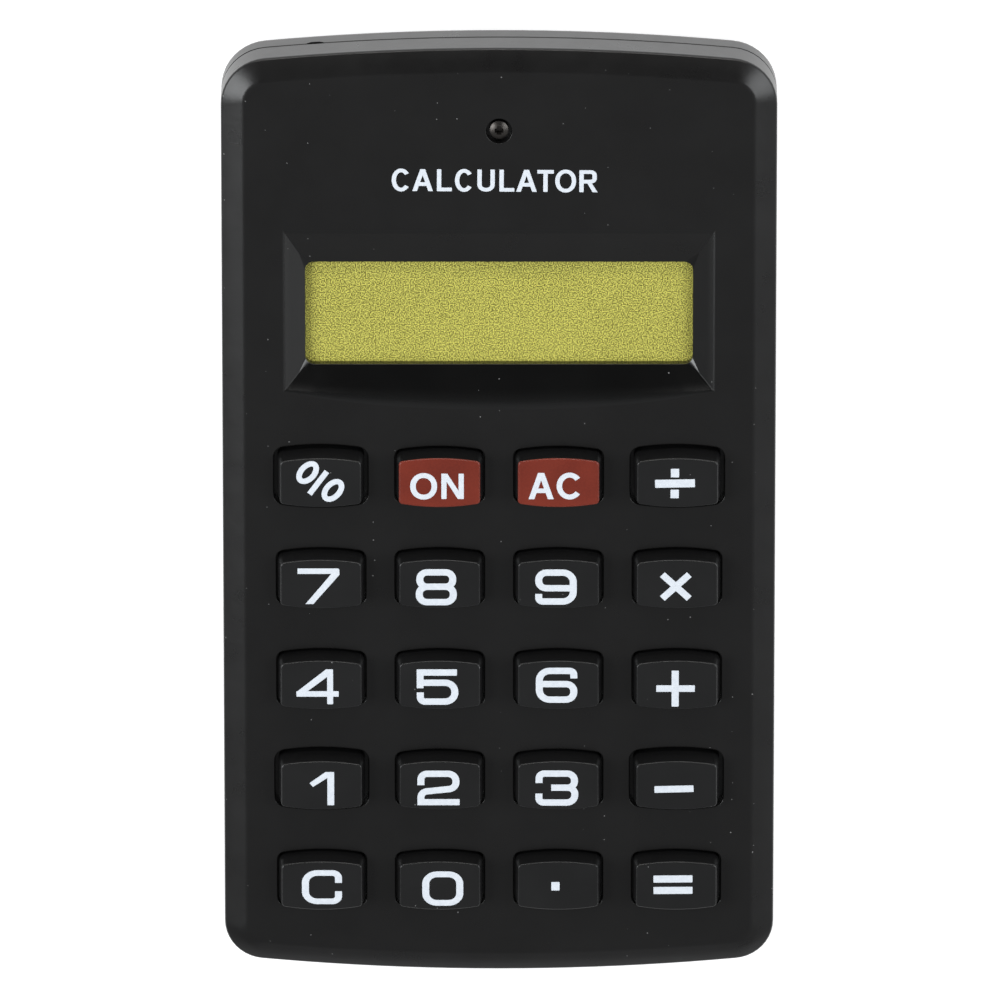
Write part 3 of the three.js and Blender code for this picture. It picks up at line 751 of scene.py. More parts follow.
def window_cutter():
    """The display window with its surround, which slopes from the face down to the window's edge."""
    slope = RECESS["half_width"] - WINDOW["half_width"]
    mitre = (MITRE_START * slope, WINDOW_RIM + MITRE_START * (FACE - WINDOW_RIM))
    profile = rounded(
        [(0, WINDOW_LIP - OVERCUT), (0, WINDOW_RIM), mitre, (slope, FACE), (slope + 2 * RECESS_EDGE, FACE)],
        [0, WINDOW_EDGE, 0, RECESS_EDGE, 0], steps=5,
    )[:-1]
    profile.append(Vector((profile[-1].x, FACE + OVERCUT)))
    rings = []
    for distance, height in profile:
        share = distance / slope
        size = {key: WINDOW[key] + (RECESS[key] - WINDOW[key]) * share for key in WINDOW}
        size["corner"] = max(WINDOW["corner"] * (1 - share / MITRE_START), RECESS["corner"])
        size["bottom_bow"] = RECESS["bottom_bow"] / max(share, 1e-3)
        rings.append((outline(**size, corner_steps=6, bow_steps=16), height))
    return loft(rings)


def recess_foot():
    """The soft rounding where the surround's bowed lower slope runs up into the face."""
    half, bow = RECESS["half_width"] - RECESS_FOOT["inset"], RECESS["bottom_bow"]
    steps, parts = 24, 8
    sections = []
    for step in range(steps + 1):
        x = half * (2 * step / steps - 1)
        edge = RECESS["bottom"] + bow - math.sqrt(bow ** 2 - x ** 2)
        lean = math.atan2(FACE - WINDOW_RIM, WINDOW["bottom"] - edge)
        reach = RECESS_FOOT["reach"] * (1 - (x / half) ** 4) + RECESS_FOOT["least"]
        radius = reach / math.tan(lean / 2)
        arc = [Vector((edge - reach + radius * math.sin(angle), FACE - radius * (1 - math.cos(angle))))
               for angle in (lean * part / parts for part in range(parts + 1))]
        above = FACE + OVERCUT
        sections.append((arc + [Vector((arc[-1].x, above)), Vector((arc[0].x, above))], x))
    return laid_along_x(loft(sections))


def key_hole(name):
    hole = WIDE_HOLE if name in KEYS_IN_WIDE_HOLES else KEY_HOLE
    rings = flare(HOLE_EDGE, FACE_UNDERSIDE - OVERCUT, FACE)
    return loft([(shifted(barrel(**hole, grow=grow), KEY_PLACES[name]), height) for grow, height in rings])


def screw_seat():
    """The counterbore with a rounded mouth, and the screw's way through the boss under it."""
    bore = SEAT_BOSS["bore"]
    mouth = [(COUNTERBORE["radius"] + grow, height)
             for grow, height in flare(COUNTERBORE["edge"], COUNTERBORE["seat"], FACE)]
    low = SEAT_BOSS["low"] - OVERCUT
    profile = [(0, low), (bore, low), (bore, COUNTERBORE["seat"]), *mouth, (0, mouth[-1][1])]
    return turned(SCREW_CENTRE, profile, sides=48)


def rear_cover():
    """The back: a tray with rounded lower edges, four feet, a label recess, and the fittings inside."""
    rim = RIM - RIM_GAP
    foot_top = FOOT["height"]
    profile = rounded(
        [(2 * BACK_ROUNDING, foot_top), (0, foot_top), (0, rim - RIM_EDGE), (RIM_EDGE, rim)],
        [0, BACK_ROUNDING, 0, 0], steps=9,
    )[1:]
    cover = loft([(body_outline(inset), height) for inset, height in profile])
    carve(cover, "UNION", [prism(body_outline(TONGUE["inset"]), rim - SINK, TONGUE["top"])])
    cavity = loft([
        (body_outline(WALL + FLOOR["fillet"] * (1 - math.sin(angle))),
         FLOOR["top"] + FLOOR["fillet"] * (1 - math.cos(angle)))
        for angle in quarter_turn(3)
    ] + [(body_outline(WALL), TONGUE["top"] + OVERCUT)])
    carve(cover, "DIFFERENCE", [cavity, label_cutter(), notch_cutter(rim)])
    carve(cover, "UNION", [*feet(), *rear_fittings()])
    boss_bore = rod(SCREW_CENTRE, REAR_BOSS["bore"], REAR_BOSS["bore_low"], REAR_BOSS["top"] + OVERCUT)
    carve(cover, "DIFFERENCE", [boss_bore])
    piece(cover, "rear_cover", "case_black", replaces=["rear_shell"])


def notch_cutter(rim):
    """The pry notch in the parting line, narrower towards its bottom."""
    x, inner, outer = PRY_NOTCH["x"], PRY_NOTCH["inner"], HALF_LENGTH + OVERCUT
    sections = [(share, rim - PRY_NOTCH["drop"] * down) for share, down in PRY_NOTCH["taper"]]
    rings = []
    for share, height in (*sections, (1, RIM + OVERCUT)):
        half = PRY_NOTCH["half_width"] * share
        rings.append((rectangle(x - half, x + half, inner, outer), height))
    return loft(rings)


def label_cutter():
    edge = LABEL_RECESS["edge"]
    deep = LABEL_RECESS["depth"]
    rings = []
    for grow, depth in ((edge, -OVERCUT), (edge, 0), (0.3 * edge, 0.4 * edge), (0, edge), (0, deep)):
        ring = outline(LABEL_RECESS["half_width"] + grow, LABEL_RECESS["top"] + grow,
                       LABEL_RECESS["bottom"] - grow, LABEL_RECESS["corner"] + grow)
        rings.append((ring, FOOT["height"] + depth))
    return loft(rings)


def feet():
    radius, edge = FOOT["radius"], FOOT["edge"]
    profile = rounded([(0, 0), (radius, 0), (radius, FOOT["height"] + SINK), (0, FOOT["height"] + SINK)],
                      [0, edge, 0, 0], steps=4)
    return [turned(corner, profile) for corner in centred(Vector((0, 0)), FOOT["x"], FOOT["y"])]


def rear_fittings():
    """Inside the back: the cell's bay, the screw's boss, the contact's stake, the hooks and the posts."""
    base = FLOOR["top"] - SINK
    x, y = CELL_CENTRE.xy
    bay = rod(CELL_CENTRE, CELL_BAY["outer"], base, CELL_BAY["top"], sides=64)
    carve(bay, "DIFFERENCE", [
        rod(CELL_CENTRE, CELL_BAY["inner"], FLOOR["top"], CELL_BAY["top"] + OVERCUT, sides=64),
        block(x - STRIP_SLOT["half_width"], x + STRIP_SLOT["half_width"],
              y - CELL_BAY["outer"] - OVERCUT, y, FLOOR["top"], STRIP_SLOT["top"]),
    ])
    boss = rod(SCREW_CENTRE, REAR_BOSS["radius"], base, REAR_BOSS["top"])
    stake = rod(Vector((x, STAKE["y"])), STAKE["radius"], base, STAKE["top"])
    posts = [rod(place, POST_RADIUS, base, BOARD_LOW - SLIT) for place in centred(*BOARD_POSTS)]
    return [bay, boss, stake, *posts, hook(-HOOK["x"]), hook(HOOK["x"])]


def hook(x):
    """A straight snap hook with its nose towards the end wall, drawn in side view."""
    outer, inner = HOOK["outer"], HOOK["outer"] + HOOK["stem"]
    side = [(inner, FLOOR["top"] - SINK), (inner, HOOK["top"]), (outer, HOOK["top"]),
            (outer - HOOK["nose"], HOOK["tip"]), (outer - HOOK["nose"], HOOK["low"]),
            (outer, HOOK["low"]), (outer, FLOOR["top"] - SINK)]
    across = HOOK["half_width"]
    return laid_along_x(prism([Vector(point) for point in side], x - across, x + across))


# ---- keys

def key_form():
    """One key about its own axis: a crowned cap with a flange, hollow below, with a plunger in the middle."""
    cap_rings = [(KEY_DRAFT, FLANGE["high"] - SINK), (KEY_DRAFT, FACE)]
    cap_rings += [(-KEY_EDGE * (1 - math.cos(angle)), KEY_TOP - KEY_EDGE * (1 - math.sin(angle)))
                  for angle in quarter_turn(4)]
    cap = loft([(barrel(**KEY_FACE, grow=grow), height) for grow, height in cap_rings])
    reach = (KEY_HIGH - KEY_LOW) / 2
    flange = outline(reach.x, reach.y, -reach.y, FLANGE["corner"])
    hollow = outline(KEY_HOLLOW["half_width"], KEY_HOLLOW["half_height"], -KEY_HOLLOW["half_height"],
                     KEY_HOLLOW["corner"])
    carve(cap, "UNION", [prism(flange, FLANGE["low"], FLANGE["high"])])
    carve(cap, "DIFFERENCE", [prism(hollow, FLANGE["low"] - OVERCUT, KEY_HOLLOW["high"])])
    low, high = KEY_LOW.z, KEY_HOLLOW["high"] + SINK
    tip = [(0, low), (PLUNGER - SINK, low), (PLUNGER, low + SINK)]
    plunger = turned(Vector((0, 0)), [*tip, (PLUNGER, high), (0, high)], sides=24)
    return carve(cap, "UNION", [plunger])


def keys():
    """Twenty caps of one shape. The red ones are red on their face and its rounded edge only."""

    def below_face(polygon):
        return polygon.center.z < KEY_TOP - 0.7 * KEY_EDGE

    pattern = key_form()
    for name in KEY_NAMES:
        key = placed(name, pattern.data.copy())
        key.data.transform(Matrix.Translation((KEY_PLACES[name].x, KEY_PLACES[name].y, 0)))
        is_red = name in RED_KEYS
        piece(key, f"keycap_{name}", "key_red" if is_red else "key_black", body=f"key_{name}",
              replaces=[f"key_{name}"], second=(LOOKS["key_black"], below_face) if is_red else None)
    bpy.data.objects.remove(pattern)


# ---- printed legends

INK_PROUD = 0.02
INK_SUNK = 0.03
INSIDE_CONSTRAINTS = 1      # delaunay_2d_cdt keeps the triangles inside the outlines
SAME_POINT = 1e-5           # corners that are no farther apart are one
BAR_CORNER = 0.06
SHARPEST_MITRE = 0.4        # a bend's corner lies at most half the pen's width, divided by this, off its path


def stroke(points, width, radius=0.0, closed=False, tall=None):
    """Four-cornered patches along a pen's path. Level runs are tall high where that differs from width."""
    lift = (tall or width) / width
    path = [Vector((point[0], point[1] / lift)) for point in points]
    path = rounded(path, radius, steps=8, closed=closed)
    count = len(path)
    edges = []
    for index, point in enumerate(path):
        before = path[index - 1] if closed or index > 0 else point
        after = path[(index + 1) % count] if closed or index + 1 < count else point
        into = (point - before).normalized() if point != before else (after - point).normalized()
        out = (after - point).normalized() if point != after else into
        across = (into + out).normalized().orthogonal()
        across *= width / 2 / max(across.dot(into.orthogonal()), SHARPEST_MITRE)
        edges.append([Vector((side.x, side.y * lift)) for side in (point + across, point - across)])
    patches = []
    for index in range(count if closed else count - 1):
        (a, b), (c, d) = edges[index], edges[(index + 1) % count]
        patches.append([a, b, d, c])
    return patches


def ring(x, y, half_width, half_height, pen, level=None, tilt=0.0, power=2.0, start=0, end=360):
    """A stroke round an ellipse, squarer where power is over 2, or along the part between two angles."""
    closed = end - start == 360
    steps = 48
    path = []
    for step in range(steps if closed else steps + 1):
        angle = math.radians(start + (end - start) * step / steps)
        across = math.copysign(abs(math.cos(angle)) ** (2 / power), math.cos(angle)) * half_width
        up = math.copysign(abs(math.sin(angle)) ** (2 / power), math.sin(angle)) * half_height
        path.append(Matrix.Rotation(math.radians(tilt), 2) @ Vector((across, up)) + Vector((x, y)))
    return stroke(path, pen, closed=closed, tall=level)


def patch(*corners):
    return [[Vector(corner) for corner in corners]]


def bar(x0, x1, y0, y1):
    return [rounded([(x0, y0), (x1, y0), (x1, y1), (x0, y1)], BAR_CORNER, steps=3, closed=True)]


def tilted(degrees, patches, x=0.0, y=0.0):
    """The patches, turned and then moved."""
    turn = Matrix.Rotation(math.radians(degrees), 2)
    return [[turn @ point + Vector((x, y)) for point in corners] for corners in patches]


def letter(kind, left, right, half_height, pen, level):
    """A plain sans-serif capital between two sides. Level strokes are level high, the others pen wide."""
    x, h = (left + right) / 2, half_height
    half = (right - left) / 2
    nib = pen / 2
    if kind == "A":
        apex = 0.56 * pen
        foot = 1.06 * pen
        meet = -h + 2 * h * (half - foot) / (half - apex)
        middle = -0.36 * h
        leg = [(-apex, h), (0, h), (0, meet), (foot - half, -h), (-half, -h)]
        inside = half - (half - apex) * (middle + h) / (2 * h) - 0.3 * pen
        return (patch(*[(x + across, up) for across, up in leg])
                + patch(*[(x - across, up) for across, up in leg])
                + bar(x - inside, x + inside, middle - level / 2, middle + level / 2))
    if kind == "C":
        return ring(x, 0, half - nib, h + 0.05 - level / 2, pen, level, start=38, end=322)
    if kind == "L":
        return bar(left, left + pen, -h, h) + bar(left, right, -h, level - h)
    if kind == "N":
        slant = 1.14 * pen
        return (bar(left, left + pen, -h, h) + bar(right - pen, right, -h, h)
                + patch((left, h), (left + slant, h), (right, -h), (right - slant, -h)))
    if kind == "O":
        return ring(x, 0, half - nib, h + 0.05 - level / 2, pen, level, power=2.1)
    if kind == "R":
        middle = -0.04 * h
        top = h - level / 2
        inner, outer = left + nib, right - 0.1 - nib
        bowl = [(inner, top), (outer, top), (outer, middle), (inner, middle)]
        return (bar(left, left + pen, -h, h) + stroke(bowl, pen, radius=0.4, tall=level)
                + patch((x - nib, middle), (x + nib, middle), (right, -h), (right - 1.15 * pen, -h)))
    if kind == "T":
        return bar(left, right, h - level, h) + bar(x - nib, x + nib, -h, h - level / 2)
    foot = level / 2 - h
    sides = [(left + nib, h), (left + nib, foot), (right - nib, foot), (right - nib, h)]
    return stroke(sides, pen, radius=0.62, tall=level)


PEN = 0.73                  # the digits' upright strokes
LEVEL = 0.7                 # the digits' level strokes


def digits():
    """The numerals' strokes, wide and square with rounded corners."""

    def line(*points, radius=0.75, closed=False, level=LEVEL):
        return stroke(points, PEN, radius=radius, closed=closed, tall=level)

    eight = (line((-1.71, 1.63), (1.71, 1.63), (1.71, 0.04), (-1.71, 0.04), radius=0.76, closed=True)
             + line((-1.77, 0.04), (1.77, 0.04), (1.77, -1.67), (-1.77, -1.67), radius=0.82, closed=True))
    nine = (line((1.79, -0.13), (-1.8, -0.13), (-1.8, 1.6), (1.79, 1.6), (1.79, -1.6), (-1.8, -1.6),
                 (-1.8, -0.76), radius=[0, 0.8, 0.84, 1.1, 1.1, 0.66, 0]))
    six = tilted(180, nine)
    five = (bar(-2.17, 2.02, 1.27, 1.97) + bar(-2.17, -1.46, -0.13, 1.97)
            + line((-1.85, 0.3), (-1.5, 0.48), (1.8, 0.48), (1.8, -1.62), (-1.8, -1.62), (-1.8, -0.6),
                   radius=[0, 0.5, 1.02, 1.02, 0.74, 0]))
    four = (bar(1.0, 1.62, -1.94, 1.94) + bar(-2.2, 2.2, -1.1, -0.49)
            + patch((0.89, 1.94), (1.1, 1.94), (1.1, 1.19), (1.0, 1.1), (-1.03, -0.49), (-1.1, -0.7),
                    (-2.2, -0.7), (-2.2, -0.59)))
    three = (line((-1.87, 0.56), (-1.87, 1.61), (1.82, 1.61), (1.82, 0.04), (-0.6, 0.04),
                  radius=[0, 0.8, 0.78, 0.7, 0])
             + line((-0.6, 0.04), (1.86, 0.04), (1.86, -1.62), (-1.89, -1.62), (-1.89, -0.62),
                    radius=[0, 0.72, 0.9, 0.8, 0]))
    two = (line((-1.84, 0.3), (-1.84, 1.57), (1.82, 1.57), (1.82, -0.06), (-1.84, -0.46), (-1.84, -1.88),
                radius=[0, 0.9, 0.95, 0.8, 0.7, 0])
           + bar(-2.2, 2.2, -1.94, -1.26))
    one = (bar(0.59, 1.3, -1.85, 1.85)
           + patch((0.4, 1.85), (0.9, 1.85), (0.9, 1.08), (0.59, 1.2), (-0.91, 0.19), (-1.28, 0.61)))
    seven = patch((-2.18, 1.98), (2.05, 1.98), (2.18, 1.83), (2.18, 1.28), (-0.55, -1.96), (-1.36, -1.96),
                  (1.34, 1.38), (-2.18, 1.38))
    nought = line((-1.78, 1.6), (1.78, 1.6), (1.78, -1.6), (-1.78, -1.6), radius=1.2, closed=True, level=0.64)
    return {"0": nought, "1": one, "2": two, "3": three, "4": four, "5": five, "6": six, "7": seven,
            "8": eight, "9": nine}


def key_legends():
    """For each key, where its legend's middle lies from the key's own, and the legend's strokes."""
    shapes = digits()
    percent = (ring(-1.28, 0.99, 1.13, 0.68, 0.58, tilt=50) + ring(1.34, -0.98, 1.13, 0.68, 0.58, tilt=50)
               + stroke([(0.71, 1.1), (-1.1, -1.39)], 0.58))
    dot = bar(-0.43, 0.43, -0.47, 0.47)
    shapes.update({
        "percent": percent,
        "on": letter("O", -2.74, 0.06, 1.41, 0.58, 0.54) + letter("N", 0.5, 2.83, 1.4, 0.54, 0.54),
        "ac": letter("A", -2.8, -0.18, 1.45, 0.57, 0.5) + letter("C", 0.12, 2.82, 1.43, 0.57, 0.54),
        "divide": (tilted(1, bar(-2.07, 2.07, -0.44, 0.44)) + tilted(0, dot, 0, 1.15)
                   + tilted(0, dot, -0.03, -1.15)),
        "multiply": (stroke([(-1.4, 1.32), (1.4, -1.32)], 0.72) + stroke([(1.4, 1.32), (-1.4, -1.32)], 0.72)),
        "add": bar(-0.41, 0.33, -2.0, 2.0) + bar(-2.01, 2.01, -0.36, 0.36),
        "subtract": tilted(1.5, bar(-2.04, 2.04, -0.37, 0.37)),
        "c": stroke([(1.72, 0.47), (1.72, 1.58), (-1.74, 1.58), (-1.74, -1.6), (1.72, -1.6), (1.72, -0.47)],
                    PEN, radius=[0, 0.95, 1.25, 1.25, 0.95, 0], tall=0.62),
        "point": dot,
        "equals": tilted(0.4, bar(-2.04, 2.04, 0.26, 1.05)) + tilted(0.4, bar(-2.04, 2.04, -1.02, -0.23)),
    })
    places = {
        "percent": (-0.06, 0.17), "on": (-0.31, -0.36), "ac": (-0.32, -0.33), "divide": (-0.26, -0.05),
        "7": (-0.25, -0.22), "8": (-0.35, -0.30), "9": (-0.25, -0.30), "multiply": (-0.14, -0.24),
        "4": (-0.39, -0.17), "5": (-0.23, -0.20), "6": (-0.19, 0.0), "add": (-0.13, -0.37),
        "1": (0.01, -0.32), "2": (-0.14, -0.23), "3": (-0.13, -0.25), "subtract": (-0.26, -0.37),
        "c": (0.01, -0.13), "0": (0.29, -0.30), "point": (-0.28, -0.04), "equals": (-0.33, 0.12),
    }
    return {name: (places[name], shapes[name]) for name in KEY_NAMES}


TITLE = [
    ("C", -11.10, -9.15), ("A", -8.96, -6.83), ("L", -6.42, -4.87), ("C", -4.56, -2.65), ("U", -2.24, -0.44),
    ("L", 0.04, 1.59), ("A", 1.78, 3.91), ("T", 3.95, 5.66), ("O", 5.81, 7.97), ("R", 8.30, 10.20),
]
TITLE_HEIGHT = 2.4
TITLE_PEN = 0.45
TITLE_LEVEL = 0.4
TITLE_Y = 36.9
TITLE_TILT = -0.4


def signed_area(corners):
    """Twice the area inside the corners, above 0 where they run anticlockwise."""
    return sum(corners[i - 1].cross(corners[i]) for i in range(len(corners)))


def printed(patches, surface):
    """The patches, joined in one outline and made a film of ink that stands a little proud of a surface."""
    corners, faces = [], []
    for outlined in patches:
        if signed_area(outlined) < 0:
            outlined = outlined[::-1]
        first = len(corners)
        corners += outlined
        faces.append(list(range(first, len(corners))))
    joined = delaunay_2d_cdt(corners, [], faces, INSIDE_CONSTRAINTS, SAME_POINT)
    points, _, triangles, _, _, sources = joined
    kept = [face for face, source in zip(triangles, sources) if source]
    count = len(points)
    film = [(point.x, point.y, height) for height in (surface + INK_PROUD, surface - INK_SUNK)
            for point in points]
    sides = {(face[i - 1], face[i]) for face in kept for i in range(len(face))}
    walls = [(b, a, a + count, b + count) for a, b in sides if (b, a) not in sides]
    floor = [tuple(point + count for point in reversed(face)) for face in kept]
    return form(film, [*kept, *floor, *sorted(walls)])


def legends():
    for name, ((x, y), patches) in key_legends().items():
        place = KEY_PLACES[name]
        film = printed(tilted(0, patches, place.x + x, place.y + y), KEY_TOP)
        piece(film, f"legend_{name}", "legend_white", body=f"key_{name}")
    title = [corners for kind, left, right in TITLE
             for corners in letter(kind, left, right, TITLE_HEIGHT / 2, TITLE_PEN, TITLE_LEVEL)]
    piece(printed(tilted(TITLE_TILT, title, 0, TITLE_Y), FACE), "legend_calculator", "legend_white")


# ---- screws, display and inner pieces

def thread(shank, low, high, pitch=0.4, depth=0.12):
    """(radius, height) pairs of a screw's thread between two heights."""
    pairs = []
    for turn in range(int((high - low) / pitch)):
        start = low + turn * pitch
        pairs += [(shank, start), (shank - depth, start + 0.4 * pitch), (shank, start + 0.9 * pitch)]
    return pairs


def cross_slots(place, reach, half_slot, deep, mouth):
    """Two crossed slots for a driver, from their narrow bottoms to their wide mouths."""
    slots = []
    for is_upright in (False, True):
        rings = []
        for length, height in ((0.5 * reach, deep), (reach, mouth)):
            half_x, half_y = (half_slot, length) if is_upright else (length, half_slot)
            rings.append((centred(place, half_x, half_y), height))
        if deep > mouth:
            rings.reverse()
        slots.append(loft(rings))
    return slots


# a slot is half its length and half its width
FACE_SCREW = {"shank": 0.6, "head": 0.97, "seat": 7.7, "brim": 8.42, "crown": 0.24, "point": 0.8,
              "neck": 0.2, "slot": (0.5, 0.24), "slot_depth": 0.75}
BOARD_SCREW = {"shank": 0.65, "head": 1.2, "head_height": 0.7, "point": 0.8, "tip": 6.0,
               "edge": 0.35, "slot": (0.7, 0.14), "slot_depth": 0.4}


def face_screw():
    """The case screw: a domed head with a cross recess, on a threaded shank."""
    head, shank, seat = FACE_SCREW["head"], FACE_SCREW["shank"], FACE_SCREW["seat"]
    rise = FACE_SCREW["crown"]
    top = FACE_SCREW["brim"] + rise
    ball = (head ** 2 + rise ** 2) / (2 * rise)
    dome = []
    for step in range(8):
        radius = head * (1 - step / 8)
        dome.append((radius, top - ball + math.sqrt(ball ** 2 - radius ** 2)))
    profile = [(0, SCREW_LOW), *thread(shank, SCREW_LOW + FACE_SCREW["point"], seat - FACE_SCREW["neck"]),
               (shank, seat), (head - SINK, seat), (head, seat + SINK), *dome, (0, top)]
    screw = turned(SCREW_CENTRE, profile, sides=48)
    slot = FACE_SCREW["slot"]
    carve(screw, "DIFFERENCE", cross_slots(SCREW_CENTRE, *slot, top - FACE_SCREW["slot_depth"], top + SINK))
    piece(screw, "face_screw", "screw_black", replaces=["case_screw"])


def board_screws():
    """Small pan-head screws, head down, that hold the circuit board to the front."""
    seat = BOARD_LOW - SLIT
    head, shank = BOARD_SCREW["head"], BOARD_SCREW["shank"]
    low = seat - BOARD_SCREW["head_height"]
    tip = BOARD_SCREW["tip"]
    edges = [0, BOARD_SCREW["edge"], 0, 0]
    profile = rounded([(0, low), (head, low), (head, seat), (shank, seat)], edges, steps=4)
    profile += [*thread(shank, seat + SINK, tip - BOARD_SCREW["point"]), (0, tip)]
    for number, place in enumerate(BOARD_SCREW_PLACES, start=1):
        screw = turned(place, profile)
        slots = cross_slots(place, *BOARD_SCREW["slot"], low + BOARD_SCREW["slot_depth"], low - SINK)
        carve(screw, "DIFFERENCE", slots)
        piece(screw, f"board_screw_{number}", "screw_steel", replaces=[f"pcb_screw_{number}"])


FILM = {"corner": 0.4, "edge": 0.03}
MAT = {"corner": 1.5, "thickness": 0.6, "seat": 3.9, "boss_hole": 1.75}
DOME = {"foot": 4.1, "crown": 2.7, "top": 6.3, "web": 3.4, "pill": 2.2, "pill_low": 5.2,
        "edges": (0, 0.2, 0.3, 0, 0.1, 0.35, 0)}


def display_film():
    """The display's front polariser, with slightly broken edges."""
    low, high = FILM_LOW, FILM_HIGH
    edge = FILM["edge"]
    rings = []
    for inset, height in ((edge, low.z), (0, low.z + edge), (0, high.z - edge), (edge, high.z)):
        ring_points = outline(high.x - inset, high.y - inset, low.y + inset, FILM["corner"] - inset)
        rings.append((ring_points, height))
    piece(loft(rings), "display_film", "display_front", replaces=["lcd_polariser"])


def keypad():
    """The rubber mat, and a dome over a hollow under each key, drawn at rest."""
    top = MAT_LOW.z + MAT["thickness"]
    sheet = prism(outline(MAT_HIGH.x, MAT_HIGH.y, MAT_LOW.y, MAT["corner"]), MAT_LOW.z, top)
    low, high = MAT_LOW.z - OVERCUT, top + OVERCUT
    seats = [rod(place, MAT["seat"], low, high, sides=48) for place in KEY_PLACES.values()]
    gaps = [rod(place, MAT["boss_hole"], low, high) for place in BOARD_SCREW_PLACES]
    carve(sheet, "DIFFERENCE", seats + gaps)
    piece(sheet, "mat_sheet", "silicone", replaces=["keypad_mat"])
    profile = rounded(
        [(0, DOME["pill_low"]), (DOME["pill"], DOME["pill_low"]), (DOME["web"], MAT_LOW.z),
         (DOME["foot"], MAT_LOW.z), (DOME["foot"], top), (DOME["crown"], DOME["top"]), (0, DOME["top"])],
        DOME["edges"], steps=4,
    )
    for name, place in KEY_PLACES.items():
        dome = piece(turned(place, profile), f"mat_dome_{name}", "silicone")
        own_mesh(dome)


CELL = {"cap_inset": 0.9, "cap_rise": 0.25, "edges": (0, 0.12, 0.05, 0.25, 0.3, 0)}


def button_cell():
    low, high = box_mm("battery_cell")
    radius = (high.x - low.x) / 2
    cap = radius - CELL["cap_inset"]
    shoulder = low.z + CELL["cap_rise"]
    profile = rounded([(0, low.z), (cap, low.z), (cap + SINK, shoulder), (radius, shoulder), (radius, high.z),
                       (0, high.z)], CELL["edges"], steps=5)
    cell = turned(CELL_CENTRE, profile, sides=72)
    piece(cell, "button_cell", "cell_steel", replaces=["battery_cell"])


BLOB_THINNING = 1.3         # at 1 the blob is half an ellipse, and above it thinner towards its edge


def resin_blob():
    """The drop of black resin over the chip, thin at its edge."""
    low, high = box_mm("ic_blob")
    radius = (high.x - low.x) / 2
    bulge = [(radius * math.sin(angle), high.z - (high.z - low.z) * math.cos(angle) ** BLOB_THINNING)
             for angle in quarter_turn(9)[1:]]
    blob = turned(centre_mm("ic_blob"), [(0, low.z), *bulge, (0, high.z)], sides=48)
    piece(blob, "resin_blob", "epoxy_black", replaces=["ic_blob"])


KEPT_NODES = {
    "board_green": ["pcb"],
    "chip_ceramic": ["capacitor", "resistor"],
    "display_glass": ["lcd_upper_glass", "lcd_lower_glass"],
    "display_reflector": ["lcd_reflector"],
    "zebra_rubber": ["zebra_strip"],
    "contact_metal": ["battery_positive_contact", "battery_negative_contact"],
}


def finish_kept_nodes():
    """CAD nodes whose shape is right keep it, and get a procedural material."""
    for slot, nodes in KEPT_NODES.items():
        for node in nodes:
            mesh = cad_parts[node].data
            mesh.materials.clear()
            mesh.materials.append(LOOKS[slot])


# ---- camera, light and floor

CAMERA_TILT = math.radians(20)
CAMERA_DISTANCE = 2.0
CAMERA_LENS = 692
CAMERA_AIM = Vector((0.1, 1.4, FACE - 1.0)) * MM
FLOOR_RADIUS = 4.0
SKY_GLOW = (0.03, 0.42, 1.0, 0.25)           # height of a direction from and to, brightness from and to
SKY_DARK = (0.84, 0.95, 1.0, 0.1)            # closeness to the middle from and to, share that is left
DARK_MIDDLE = (0, 0.45, 0.9)
SKY_SIDES = (-1, 1, 0.66, 1.4)               # from the left to the right, brightness from and to
SKY_COLOUR = (0.97, 0.985, 1, 1)
COOL_WHITE = (0.96, 0.985, 1.0)
WARM_WHITE = (1.0, 0.98, 0.95)
SOFTBOXES = {               # azimuth, elevation, width, height, watts and colour
    "left_softbox": (-81, 46, 0.5, 0.5, 5.1, COOL_WHITE),
    "rear_softbox": (0, 30, 0.7, 0.15, 2.0, WARM_WHITE),
    "right_softbox": (75, 46, 0.5, 0.5, 3.0, COOL_WHITE),
}
SOFTBOX_DISTANCE = 0.9


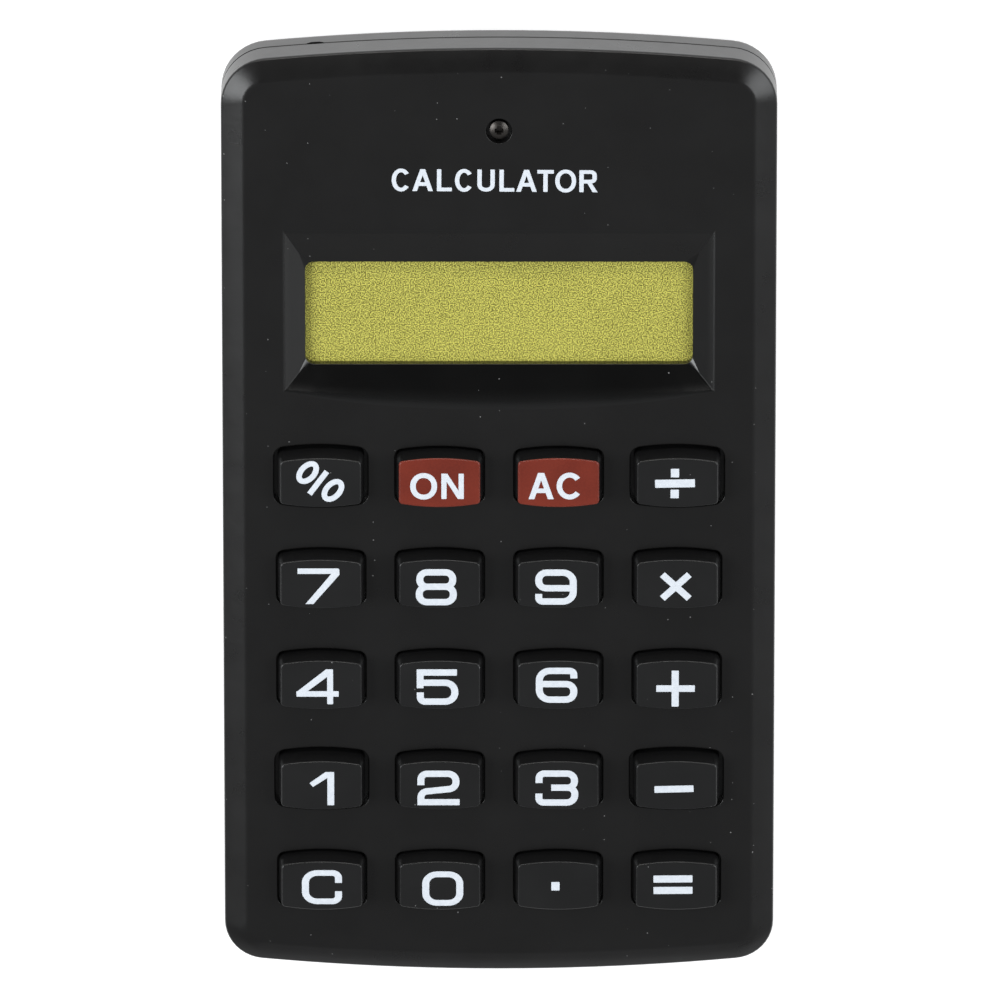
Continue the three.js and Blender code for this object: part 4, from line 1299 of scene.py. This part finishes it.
def camera():
    """Almost straight above, leaning towards the display end so that the end wall just shows."""
    data = bpy.data.cameras.new("camera")
    data.lens = CAMERA_LENS
    data.sensor_width = 36
    data.clip_end = 20
    thing = placed("camera", data)
    lean = Vector((0, math.sin(CAMERA_TILT), math.cos(CAMERA_TILT)))
    thing.location = CAMERA_AIM + lean * CAMERA_DISTANCE
    thing.rotation_euler = (-CAMERA_TILT, 0, 0)
    bpy.context.scene.camera = thing


def softbox(name, azimuth, elevation, width, height, watts, colour):
    """A soft light aimed at the object; azimuth 0 is +Y, and 90 is +X."""
    light = bpy.data.lights.new(name, "AREA")
    light.shape = "RECTANGLE"
    light.size = width
    light.size_y = height
    light.energy = watts
    light.color = colour
    thing = placed(name, light)
    around, up = math.radians(azimuth), math.radians(elevation)
    away = Vector((math.sin(around) * math.cos(up), math.cos(around) * math.cos(up), math.sin(up)))
    thing.location = away * SOFTBOX_DISTANCE
    thing.rotation_euler = away.to_track_quat("Z", "Y").to_euler()


def sky():
    """A dim grey room, white at the horizon where the light table ends, and dark round the camera."""
    world = bpy.data.worlds.new("studio")
    bpy.context.scene.world = world
    world.use_nodes = True
    nodes = Nodes(world.node_tree)

    def fall(value, start, end, low, high):
        return nodes.range(value, start, end, low, high, interpolation_type="SMOOTHSTEP")

    direction = nodes.node("ShaderNodeTexCoord", {}).outputs["Generated"]
    x, _, height = nodes.split(direction)
    middle = {0: direction, 1: Vector(DARK_MIDDLE).normalized()}
    closeness = nodes.node("ShaderNodeVectorMath", middle, operation="DOT_PRODUCT").outputs["Value"]
    brightness = nodes.product(fall(height, *SKY_GLOW), fall(closeness, *SKY_DARK), fall(x, *SKY_SIDES))
    background = world.node_tree.nodes["Background"]
    background.inputs["Color"].default_value = SKY_COLOUR
    world.node_tree.links.new(brightness, background.inputs["Strength"])


def floor():
    corners = [(*point, 0) for point in circle(FLOOR_RADIUS / MM, 64)]
    table = form(corners, [tuple(range(len(corners)))])
    table.name = "light_table"
    table.data.transform(Matrix.Scale(MM, 4))
    table.data.materials.append(studio_floor())


bpy.context.scene.view_settings.view_transform = "Standard"
camera()
front_cover()
rear_cover()
keys()
legends()
face_screw()
board_screws()
display_film()
keypad()
button_cell()
resin_blob()
finish_kept_nodes()
sky()
for name, settings in SOFTBOXES.items():
    softbox(name, *settings)
floor()
